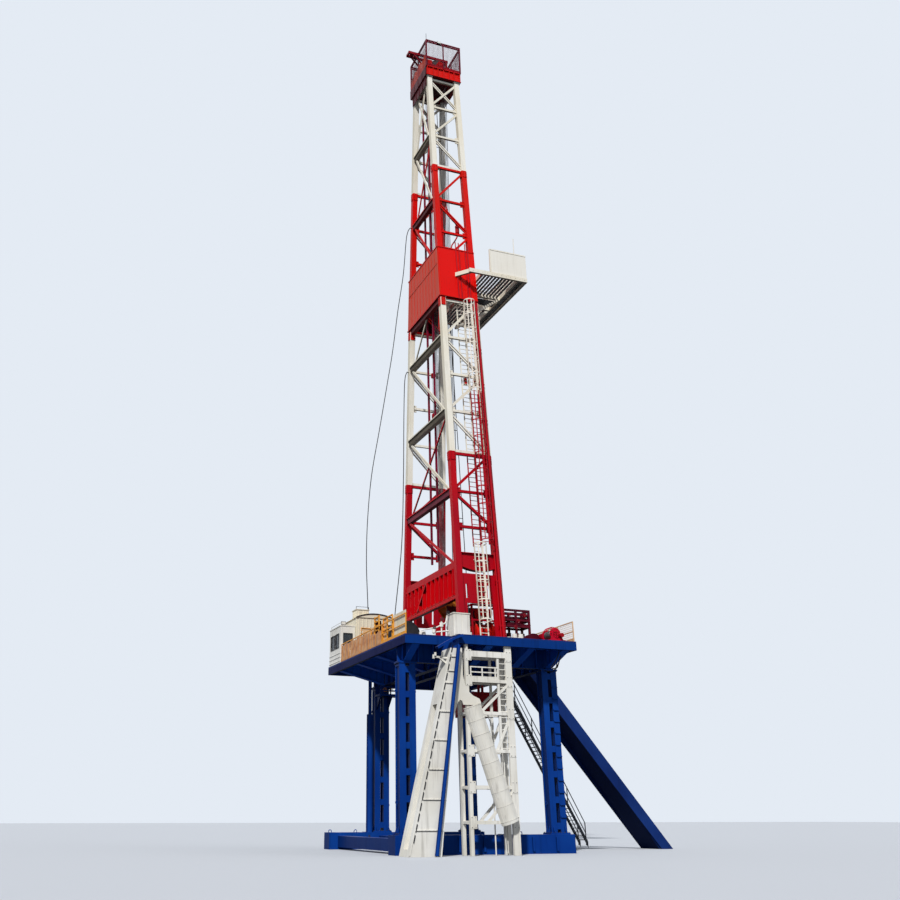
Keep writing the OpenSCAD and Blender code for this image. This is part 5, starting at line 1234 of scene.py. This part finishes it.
def ramp_fittings():
    """The roller at the lip of the pipe ramp and wear strips down its bed."""
    drums("ramp_roller", [((2.36, 0, 5.232), FAR, 0.038, 0.86)], "machine_grey")
    run = (FLOOR - 0.06) / math.tan(math.radians(52))
    strips = []
    for k in range(-4, 5):
        strips.append([at(2.44, k * 0.1, 5.183), at(2.42 + run * 0.985, k * 0.1, 0.078)])
    bars("ramp_wear_strips", strips, 0.03, "machine_grey", depth=0.012)


def tank_fittings():
    """Pipes and rim bolts of the tank that hangs under the floor."""
    left, right = 0.5, 1.1
    bent = ((-0.74, 3.7), (-0.86, 3.7), (-0.9, 3.66), (-0.9, 2.9))
    pipes = [[at(left, y, z) for y, z in bent] + [at(0.3, -0.95, 2.6)],
             [at(right, y, z) for y, z in ((-0.74, 4.1), (-0.95, 4.1), (-1.0, 4.05), (-1.0, 3.2))]]
    bars("tank_pipes", pipes, 0.06, "machine_red", round_=True, corners=12)
    bolts = [((0.379, -0.63 + k * 0.115, z), BACK) for k in range(12) for z in (3.66, 4.18)]
    studs("tank_bolts", bolts, "machine_red", 0.014)


def platform_fittings():
    """Grating, handwheels and pipes of the service platform under the floor."""
    x0, x1, y0, y1, z = -1.536, -0.784, 2.1797, 2.5997, 4.4
    grid = []
    for k in range(12):
        x = x0 + 0.03 + 0.06 * k
        grid.append([at(x, y0 + 0.03, z + 0.004), at(x, y1 - 0.02, z + 0.004)])
    bars("platform_grating", grid, 0.012, "structure_blue", depth=0.008)
    wheels = [((x0 + 0.2, y0 + 0.06, z + 0.13), NEAR, 0.06),
              ((x1 - 0.28, y0 + 0.22, z + 0.16), NEAR, 0.055)]
    handwheels("platform_handwheels", wheels, "rail_yellow")
    pipes = [[at(x1 - 0.28, y0 + 0.28, z), at(x1 - 0.28, y0 + 0.28, z + 0.22)],
             [at(x0 + 0.32, y0 + 0.2, z + 0.12), at(x1 - 0.06, y0 + 0.2, z + 0.12)]]
    bars("platform_pipes", pipes, 0.045, "panel_tan", round_=True, corners=10)


def corner_hose():
    """The slack hose that hangs in loops under the floor's front corner."""
    lower = at(1.5, -3.66, 4.6)
    upper = at(1.60, -3.55, 4.62)
    drop = [(1.622, 5.2), (1.58, 4.95), (1.487, 4.786), (1.38, 4.65), (1.316, 4.592), (1.36, 4.55)]
    loops = [[at(x, -3.7, z) for x, z in drop] + [at(1.44, -3.69, 4.56), lower],
             [at(1.70, -3.7, 5.2), at(1.66, -3.66, 4.9), upper, at(1.5, -3.4, 4.5), at(1.5, -3.15, 4.55),
              at(1.58, -2.9, 4.6)],
             [lower, at(1.56, -3.6, 4.7), upper]]
    bars("corner_hose", loops, 0.03, "machine_grey", round_=True, corners=8)


# Guard rails of the floor
REAR_RAIL = -2.91
FRONT_RAIL = 1.91


def rear_boards():
    """Infill boards and the kick board of the guard rail along the back edge."""
    x = REAR_RAIL
    start, end = -3.61, 1.89
    bay = (end - start) / 6
    inner = bay - 0.06
    boards = []
    seams = []
    for i in range(2, 6):
        high = FLOOR + (0.50 if i > 2 else 0.38)
        for k in range(3):
            a = start + i * bay + 0.03 + k * inner / 3
            b = a + inner / 3 - 0.014
            middle = (a + b) / 2
            top = high - 0.03 * ((i + k) % 2)
            boards.append((x - 0.026, a, FLOOR + 0.02, x - 0.014, b, top))
            seams.append((x - 0.031, middle - 0.008, FLOOR + 0.03, x - 0.024, middle + 0.008, top - 0.01))
    refinish(plates("rear_boards", boards, "panel_tan"), MOTTLED)
    plates("rear_board_ribs", seams, "rail_yellow")
    kick = (x - 0.022, -3.63, FLOOR + 0.0005, x - 0.012, 1.9, FLOOR + 0.08)
    plates("rear_kick_board", [kick], "rail_yellow")


def rear_gate():
    """The gate frames behind the back rail and the two screens beside them."""
    x = REAR_RAIL + 0.04
    tall, short = 6.12, 5.96
    gate = []
    for y, top in ((-1.42, tall), (-1.06, tall), (-2.5, short), (-2.1, short), (-1.78, short)):
        gate.append([at(x, y, DECK), at(x, y, top)])
    gate += [[at(x, -1.42, z), at(x, -1.06, z)] for z in [5.36 + 0.12 * k for k in range(7)]]
    gate += [[at(x, -2.5, z), at(x, -1.78, z)] for z in (5.62, 5.94)]
    bars("rear_gate", gate, 0.034, "rail_yellow")
    near, far = x + 0.01, x + 0.018
    screens = [(near, -2.08, DECK, far, -1.8, 5.92), (near, -1.04, DECK, far, -0.7, 5.86)]
    plates("rear_screen", screens, "panel_tan")


def front_mesh():
    """Wire mesh and kick boards in the guard rails of the front edge."""
    x = FRONT_RAIL
    pitch = 0.055
    wires = []
    kicks = []
    for y0, y1 in ((-4.01, -0.65), (1.45, 3.11)):
        count = int((y1 - y0) / pitch)
        for k in range(count + 1):
            y = y0 + k * (y1 - y0) / count
            wires.append([at(x, y, 5.26), at(x, y, 5.78)])
        wires += [[at(x, y0, 5.3 + pitch * k), at(x, y1, 5.3 + pitch * k)] for k in range(9)]
        kicks.append((x + 0.013, y0, FLOOR + 0.0005, x + 0.022, y1, FLOOR + 0.1))
    bars("front_rail_mesh", wires, 0.007, "panel_tan", round_=True, corners=4)
    plates("front_kick_boards", kicks, "panel_tan")


# The dog house
HOUSE_X = (-2.45, -1.2)
HOUSE_Y = (1.8, 3.08)
HOUSE_FOOT = 5.27


def house_walls():
    """Upright ribs of the dog house's walls, left out where its door and the cabin are."""
    x0, x1 = HOUSE_X
    y0, y1 = HOUSE_Y
    low, high = HOUSE_FOOT, 6.62
    door_head = 6.36
    wide, proud, pitch = 0.03, 0.012, 0.13
    ribs = []
    x = x0 + 0.06
    k = 0
    while x < x1 - 0.04:
        ribs.append((x, y1, low, x + wide, y1 + proud, high))
        over_door = -2.30 < x < -1.86
        ribs.append((x, y0 - proud, door_head if over_door else low, x + wide, y0, high))
        k += 1
        x = x0 + 0.06 + pitch * k
    for k in range(10):
        y = y0 + 0.05 + pitch * k
        ribs.append((x1, y, low, x1 + proud, y + wide, high))
        if y > 3.0 or y < 1.92:
            ribs.append((x0 - proud, y, low, x0, y + wide, high))
    plates("dog_house_ribs", ribs, "house_white")


def roof_arch(y, eaves):
    """Points across the dog house's arched roof, from the front eaves to the back."""
    half, rise = 0.655, 0.13
    radius = (half ** 2 + rise ** 2) / (2 * rise)
    steps = [0.652 * j / 8 for j in range(-8, 9)]
    return [at(-1.825 + x, y, eaves + rise - radius + math.sqrt(radius ** 2 - x ** 2)) for x in steps]


def house_door():
    """The frame round the door, and the handle and panels that swing with the leaf."""
    face = HOUSE_Y[0]
    left, right, head = -2.306, -1.884, 6.322
    outline = ((left, 5.29), (left, head), (right, head), (right, 5.29))
    bars("door_frame", [[at(x, face - 0.006, z) for x, z in outline]], 0.024, "rail_yellow")
    grip = ((0.001, 5.75), (-0.04, 5.75), (-0.04, 5.9), (0.001, 5.9))
    handle = [at(-1.95, face + out, z) for out, z in grip]
    bars("door_handle", [handle], 0.012, "machine_grey", round_=True, corners=6, body="dog_house_door")
    panels = [(-2.23, face - 0.004, z, -1.93, face + 0.003, z + 0.38) for z in (5.36, 5.84)]
    plates("door_panels", panels, "panel_tan", body="dog_house_door")


def roof_cooler():
    """The louvred cooler on the dog house roof and the rail over it."""
    cooler = [(-2.45, 1.86, 6.655, -2.03, 2.26, 6.90), (-2.47, 1.84, 6.90, -2.01, 2.28, 6.925)]
    cooler += [(-2.44 + 0.06 * k, 1.848, 6.68, -2.415 + 0.06 * k, 1.86, 6.88) for k in range(7)]
    cooler += [(-2.462, 1.88 + 0.06 * k, 6.68, -2.45, 1.905 + 0.06 * k, 6.88) for k in range(6)]
    plates("roof_cooler", cooler, "house_white")
    rail = [at(x, 1.86, z) for x, z in ((-2.46, 6.92), (-2.46, 7.0), (-2.04, 7.0), (-2.04, 6.92))]
    bars("cooler_rail", [rail], 0.014, "machine_grey")


def dog_house_fittings():
    """Walls, roof battens, door, vent, lamp, cooler, shutter, panel and roof edge of the dog house."""
    face = HOUSE_Y[0]
    house_walls()
    battens = [roof_arch(face - 0.02 + k * 0.164, 6.651) for k in range(9)]
    bars("roof_battens", battens, 0.022, "house_white")
    house_door()
    slats = []
    for k in range(6):
        z = 6.2 + 0.035 * k
        slats.append((-1.62, face - 0.02, z, -1.36, face - 0.002, z + 0.02))
    plates("dog_house_vent", slats, "machine_grey")
    flood_lamps("dog_house_lamp", [(at(-1.4, face - 0.04, 6.5), 0.0)])
    roof_cooler()
    # The shutter is a near black plate, painted as the shade of a dark opening
    shutter = [(-1.87, face - 0.03, 5.95, -1.64, face - 0.013, 6.58)]
    refinish(plates("dog_house_shutter", shutter, "machine_grey"), PAINTED_SHADE)
    plates("dog_house_panel", [(-1.6, face - 0.026, 5.9, -1.3, face - 0.013, 6.15)], "panel_tan")
    bars("roof_edge", [roof_arch(face - 0.034, 6.655)], 0.03, "machine_grey")


# The driller's cabin
def window_seal(low_corner, high_corner):
    """The gasket round a window between two corners, closed just below where it starts."""
    x0, y0, low = low_corner
    x1, y1, high = high_corner
    return [at(x0, y0, low), at(x1, y1, low), at(x1, y1, high), at(x0, y0, high), at(x0, y0, low - 0.012)]


def cabin_fittings():
    """Gaskets, wipers, roof rail, skirt and lamp of the driller's cabin."""
    x0, x1, y0, y1 = -2.94, -2.46, 1.95, 3.08
    low, high = 5.73, 6.16
    proud = 0.004
    gaskets = []
    wipers = []
    for a in (y0 + 0.15, y0 + 0.60):
        b = a + 0.38
        middle = (a + b) / 2
        gaskets.append(window_seal((x0 - proud, a, low), (x0 - proud, b, high)))
        wipers.append([at(x0 - 0.02, middle, high + 0.02), at(x0 - 0.022, middle + 0.09, low + 0.1)])
    gaskets.append(window_seal((x0 + 0.09, y0 - proud, low), (x1 - 0.09, y0 - proud, high)))
    bars("cabin_gaskets", gaskets, 0.024, "machine_grey", depth=0.016)
    bars("cabin_wipers", wipers, 0.012, "machine_grey")
    corners = ((x0, y0), (x1, y0), (x1, y1), (x0, y1), (x0, y0))
    bars("cabin_roof_edge", [[at(x, y, 6.39) for x, y in corners]], 0.03, "tower_white")
    hoop = ((y0 + 0.04, 6.38), (y0 + 0.04, 6.5), (y1 - 0.04, 6.5), (y1 - 0.04, 6.38))
    bars("cabin_roof_rail", [[at(x0 + 0.04, y, z) for y, z in hoop]], 0.018, "tower_white", round_=True)
    levels = (5.30, 5.42, 5.54)
    skirt = [(x0 - 0.012, y0, z, x0, y1, z + 0.02) for z in levels]
    skirt += [(x0, y0 - 0.012, z, x1, y0, z + 0.02) for z in levels]
    plates("cabin_skirt", skirt, "tower_white")
    flood_lamps("cabin_lamps", [(at(x0 + 0.1, y0 + 0.06, 6.47), 0.0)])


# Machines on the floor
def coils(axis_point, y0, y1, radius, pitch):
    """Rings side by side round an axis that runs across the floor."""
    count = int((y1 - y0) / pitch)
    x, z = axis_point
    return [ring((x, y0 + pitch * (k + 0.5), z), FAR, radius, 22) for k in range(count)]


def drawworks_fittings():
    """Rope on the drum, louvres of the guards, motor fins and the brake linkage."""
    x, z = -1.79, 5.72
    guard = 0.9
    rope = coils((x, z), -0.66, -0.09, 0.222, 0.027) + coils((x, z), 0.0, 0.66, 0.222, 0.027)
    bars("drum_rope", rope, 0.026, "wire_rope", round_=True, corners=6)
    slats = []
    for s in (-1, 1):
        inner, outer = sorted((s * guard, s * (guard + 0.006)))
        for k in range(9):
            level = 5.42 + 0.035 * k
            slats.append((x - 0.3, inner, level, x + 0.3, outer, level + 0.015))
    plates("guard_louvres", slats, "machine_grey")
    bars("motor_fins", coils((-2.15, 5.53), -0.36, 0.36, 0.17, 0.06), 0.02, "machine_grey")
    links = [[at(x + 0.35, y, 5.4), at(x + 0.38, y, 5.75), at(x + 0.2, y, 6.02)] for y in (-0.63, 0.63)]
    bars("brake_links", links, 0.03, "machine_red")
    bolts = []
    for s in (-1, 1):
        for k in range(10):
            a = math.pi * k / 9
            bolts.append(((x + 0.37 * math.cos(a), s * guard, z + 0.37 * math.sin(a)), (0, s, 0)))
    studs("guard_bolts", bolts, "machine_grey", 0.014)


def rack_fittings():
    """Pipes and handwheels of the equipment rack, its white bottles, and cans stowed beside it."""
    x0, x1, y0 = 0.8, 1.73, -1.93
    back, front = x0 - 0.03, x1 + 0.04
    riser = x1 + 0.06
    pipes = []
    for y in (-1.84, -1.72, -1.6, -1.48):
        pipes.append([at(back, y, 6.04), at(front, y, 6.04)])
        pipes.append([at(back, y + 0.02, 6.22), at(front, y + 0.02, 6.22)])
    pipes.append([at(riser, -1.75, 5.26), at(riser, -1.75, 6.2), at(x1 - 0.05, -1.75, 6.38)])
    refinish(bars("rack_pipes", pipes, 0.055, "machine_red", round_=True, corners=10), RACK)
    bottles = [((x0 + dx, y0 - 0.12, 5.49), UP, 0.075, 0.47) for dx in (0.32, 0.52)]
    drums("rack_white_bottles", bottles, "tower_white")
    hubs = ((0.22, 6.3), (0.5, 6.12), (0.72, 6.3), (0.4, 5.94))
    wheels = [((x0 + dx, y0 - 0.06, z), NEAR, 0.05) for dx, z in hubs]
    handwheels("rack_handwheels", wheels, "machine_red")
    cans = [((x0 - 0.02 + 0.16 * k, -2.95 + 0.1 * (k % 2), 5.36), UP, 0.055, 0.2) for k in range(-2, 2)]
    drums("stowed_cans", cans, "tower_white")


def winch_fittings():
    """Rope, bolts, guard hoops, motor and handwheel of the floor winch."""
    x, y, z = 1.5, -3.5, 5.485
    rope = coils((x, z), y - 0.205, y + 0.205, 0.115, 0.024)
    bars("winch_rope", rope, 0.022, "wire_rope", round_=True, corners=6)
    bolts = []
    for k in range(8):
        a = 2 * math.pi * k / 8
        bolts.append(((x + 0.13 * math.cos(a), y - 0.24, z + 0.13 * math.sin(a)), NEAR))
    studs("winch_bolts", bolts, "machine_grey", 0.012)
    hoops = [ring((x, y + s * 0.1, z), FAR, 0.2, 12, 0.3, 2.5) for s in (-1, 0, 1)]
    refinish(bars("winch_guard", hoops, 0.02, "machine_red", round_=True), WINCH)
    motor = [((x - 0.1, y + 0.36, z), FAR, 0.09, 0.2), ((x + 0.1, y - 0.36, z - 0.06), FAR, 0.06, 0.16)]
    drums("winch_motor", motor, "machine_red")
    handwheels("winch_handwheel", [((x - 0.05, y - 0.37, z + 0.02), NEAR, 0.09)], "machine_red")


def cabinet_fittings():
    """The valves piped beside the white cabinet."""
    y = -3.3
    wheel_y = y - 0.05
    riser = ((-2.35, FLOOR + 0.001), (-2.35, 5.42), (-1.9, 5.52), (-1.62, 5.66), (-1.56, 5.9))
    pipes = [riser, ((-1.75, FLOOR), (-1.75, 5.7)), ((-1.98, FLOOR), (-1.98, 5.5)),
             ((-1.9, 5.4), (-1.55, 5.45))]
    runs = [[at(x, y, z) for x, z in pipe] for pipe in pipes]
    bars("valve_pipes", runs, 0.04, "tower_white", round_=True, corners=10)
    wheels = [((-1.75, wheel_y, 5.74), NEAR, 0.05), ((-1.98, wheel_y, 5.52), NEAR, 0.045),
              ((-1.57, wheel_y, 5.92), NEAR, 0.05)]
    handwheels("valve_handwheels", wheels, "machine_grey")
    bodies = [((-1.75, y, 5.6), UP, 0.05, 0.12), ((-1.98, y, 5.42), UP, 0.045, 0.1),
              ((-2.25, -3.15, 5.33), UP, 0.09, 0.16)]
    drums("valve_bodies", bodies, "tower_white")


def hoist_machinery():
    """The auxiliary hoist behind the ladder: drum, rope, bed, screen and cage."""
    x, y, z = 0.3, -1.45, 5.72
    rope_radius = 0.315
    rolls = [((x, y, z), FRONT, 0.30, 0.5), ((x - 0.27, y, z), FRONT, 0.42, 0.05),
             ((x + 0.27, y, z), FRONT, 0.42, 0.05), ((x - 0.36, y, z), FRONT, 0.2, 0.14),
             ((x + 0.08, y - 0.1, z + 0.62), FRONT, 0.16, 0.44)]
    drums("hoist_drum", rolls, "mast_red")
    turns = [math.pi * j / 8 for j in range(17)]
    round_drum = [Vector((0, rope_radius * math.cos(a), rope_radius * math.sin(a))) for a in turns]
    hoops = []
    for k in range(10):
        middle = at(x - 0.23 + 0.05 * k, y, z)
        hoops.append([middle + step for step in round_drum])
    bars("hoist_rope", hoops, 0.036, "mast_red", round_=True, corners=6)
    bed = 5.32
    boxes = [(x - 0.42, y - 0.34, DECK, x + 0.42, y + 0.34, bed),
             (x - 0.33, y - 0.12, bed, x - 0.28, y + 0.12, z + 0.2),
             (x + 0.28, y - 0.12, bed, x + 0.33, y + 0.12, z + 0.2),
             (x - 0.4, y + 0.3, bed, x - 0.14, y + 0.52, 6.35)]
    plates("hoist_frame", boxes, "machine_red")
    back, top = -0.56, 6.62
    screen = [(back, -0.99, DECK, 0.62, -0.98, top)]
    screen += [(back + 0.19 * k, -1.012, DECK, back + 0.03 + 0.19 * k, -0.99, top) for k in range(7)]
    refinish(plates("hoist_screen", screen, "machine_red"), SHADED_MAROON)
    x0, x1, y0, y1 = x - 0.42, x + 0.44, y - 0.36, y + 0.36
    cage = [[at(fx, fy, DECK), at(fx, fy, 6.56)] for fx in (x0, x1) for fy in (y0, y1)]
    for level in (6.1, 6.54):
        cage.append([at(*corner, level) for corner in ((x0, y0), (x1, y0), (x1, y1), (x0, y1), (x0, y0))])
    bars("hoist_cage", cage, 0.05, "mast_crimson")


def hoist_piping():
    """The pipes beside the auxiliary hoist with their valves and handwheels."""
    main, low, tall = (-0.42, -1.9), (-0.3, -2.0), (-0.46, -1.6)
    pipes = [[at(*main, DECK), at(*main, 6.3), at(-0.36, -1.86, 6.42), at(-0.1, -1.7, 6.42)],
             [at(*low, DECK), at(*low, 6.0)], [at(*tall, DECK), at(*tall, 6.6)],
             [at(*main, 5.7), at(*tall, 5.8)]]
    bars("hoist_pipes", pipes, 0.06, "machine_grey", round_=True, corners=10)
    valves = [((*main, 5.9), UP, 0.07, 0.16), ((*low, 5.62), UP, 0.065, 0.14)]
    drums("hoist_valves", valves, "tower_white")
    wheels = [((-0.42, -1.96, 6.0), NEAR, 0.07), ((-0.3, -2.06, 5.78), NEAR, 0.06)]
    handwheels("hoist_handwheels", wheels, "mast_red")


def block_fittings():
    """Bolts and side ribs of the travelling block."""
    cheek = 0.28
    middle = 6.8
    bolts = []
    for s in (-1, 1):
        for k in range(10):
            a = 2 * math.pi * k / 10
            bolts.append(((0.2 * math.cos(a), s * cheek, middle + 0.2 * math.sin(a)), (0, s, 0)))
        for x in (-0.24, 0.24):
            for z in (6.74, 6.9, 7.04):
                bolts.append(((x, s * cheek, z), (0, s, 0)))
    studs("block_bolts", bolts, "block_orange", 0.016, body="travelling_block")
    ribs = []
    for s in (-1, 1):
        for x in (-0.12, 0.12):
            ribs.append((x - 0.01, s * cheek, 6.6, x + 0.01, s * (cheek + 0.018), 7.06))
    plates("block_ribs", ribs, "block_orange", body="travelling_block")


def mast_services():
    """The hose up the near rear leg on its short arms, and a conduit up the far front leg."""
    hose = []
    arms = []
    for k in range(21):
        point = leg(-1, -1, 0.9 + 0.98 * k) + Vector((0.27, 0.04, 0))
        hose.append(point)
        if k % 3 == 0:
            arms.append([point, point - Vector((0.2, 0, 0))])
    conduit = [leg(1, 1, up) + Vector((-0.02, LEG_SIDE + 0.022, 0)) for up in (0.3, 5.98)]
    bars("mast_hose", [hose, conduit], 0.026, "machine_grey", round_=True)
    bars("hose_arms", arms, 0.016, "machine_grey")


def girder_fixings():
    """Two rows of bolts along the chord of the plate girder at the back of the mast."""
    low = LEVELS[1]
    face = -half_d(low) - 0.0735
    side = half_w(low) - LEG / 2 - 0.12
    spans = 25
    bolts = []
    for k in range(spans + 1):
        y = -side + 2 * side * k / spans
        for up in (1.42, 1.49):
            bolts.append(((face, y, FLOOR + up), BACK))
    studs("plate_girder_bolts", bolts, "mast_crimson", 0.014)


for fittings in (leg_splices, gusset_bolts, hanging_sheave, crown_mesh, crown_fittings, board_fittings,
                 floor_framing, column_fixings, base_fittings, chute_fittings, trough_fittings,
                 tower_fittings, stair_fittings, ramp_fittings, tank_fittings, platform_fittings,
                 corner_hose, rear_boards, rear_gate, front_mesh, dog_house_fittings, cabin_fittings,
                 drawworks_fittings, rack_fittings, winch_fittings, cabinet_fittings, hoist_machinery,
                 hoist_piping, block_fittings, mast_services, girder_fixings, crown_plates,
                 windwall_fixings, mast_tackle, girt_flanges):
    fittings()


# Floor, sky and lamps of the studio
def stage_floor():
    size = 160.0
    level = -0.002
    corners = [(-size, -size, level), (size, -size, level), (size, size, level), (-size, size, level)]
    mesh = bpy.data.meshes.new("yard_floor")
    mesh.from_pydata(corners, [], [(0, 1, 2, 3)])
    made, tree, surface = material("pale_floor")
    seen = add(tree, "ShaderNodeLightPath").outputs["Is Camera Ray"]
    pale = blend(tree, seen, tint(96, 98, 102), tint(205, 208, 213))
    tree.links.new(pale, surface.inputs["Base Color"])
    surface.inputs["Roughness"].default_value = 0.8
    mesh.materials.append(made)
    floor = bpy.data.objects.new("yard_floor", mesh)
    bpy.context.collection.objects.link(floor)


def studio_sky():
    """A pale backdrop to the camera, and a dimmer, cooler sky for light."""
    world = bpy.data.worlds.new("studio")
    bpy.context.scene.world = world
    world.use_nodes = True
    tree = world.node_tree
    back = tree.nodes["Background"]
    seen = add(tree, "ShaderNodeLightPath").outputs
    direct = calc(tree, "MAXIMUM", seen["Is Camera Ray"], seen["Is Transmission Ray"])
    direct = calc(tree, "MAXIMUM", direct, seen["Is Glossy Ray"])
    tree.links.new(blend(tree, direct, (0.80, 0.88, 1.0, 1), tint(228, 235, 244)), back.inputs["Color"])
    tree.links.new(span(tree, direct, 0.0, 1.0, 0.30, 1.0), back.inputs["Strength"])


def lamp(name, travel, energy, spread):
    """A sun whose light travels along a direction, softened over a spread in degrees."""
    data = bpy.data.lights.new(name, "SUN")
    data.energy = energy
    data.angle = math.radians(spread)
    one = bpy.data.objects.new(name, data)
    one.rotation_euler = Vector(travel).to_track_quat("-Z", "Y").to_euler()
    bpy.context.collection.objects.link(one)


stage_floor()
studio_sky()
lamp("key_lamp", (0.43, 0.60, -0.675), 3.1, 3.0)
lamp("fill_lamp", (-0.6, 0.5, -0.62), 0.25, 40.0)

bpy.context.scene.view_settings.view_transform = "Standard"
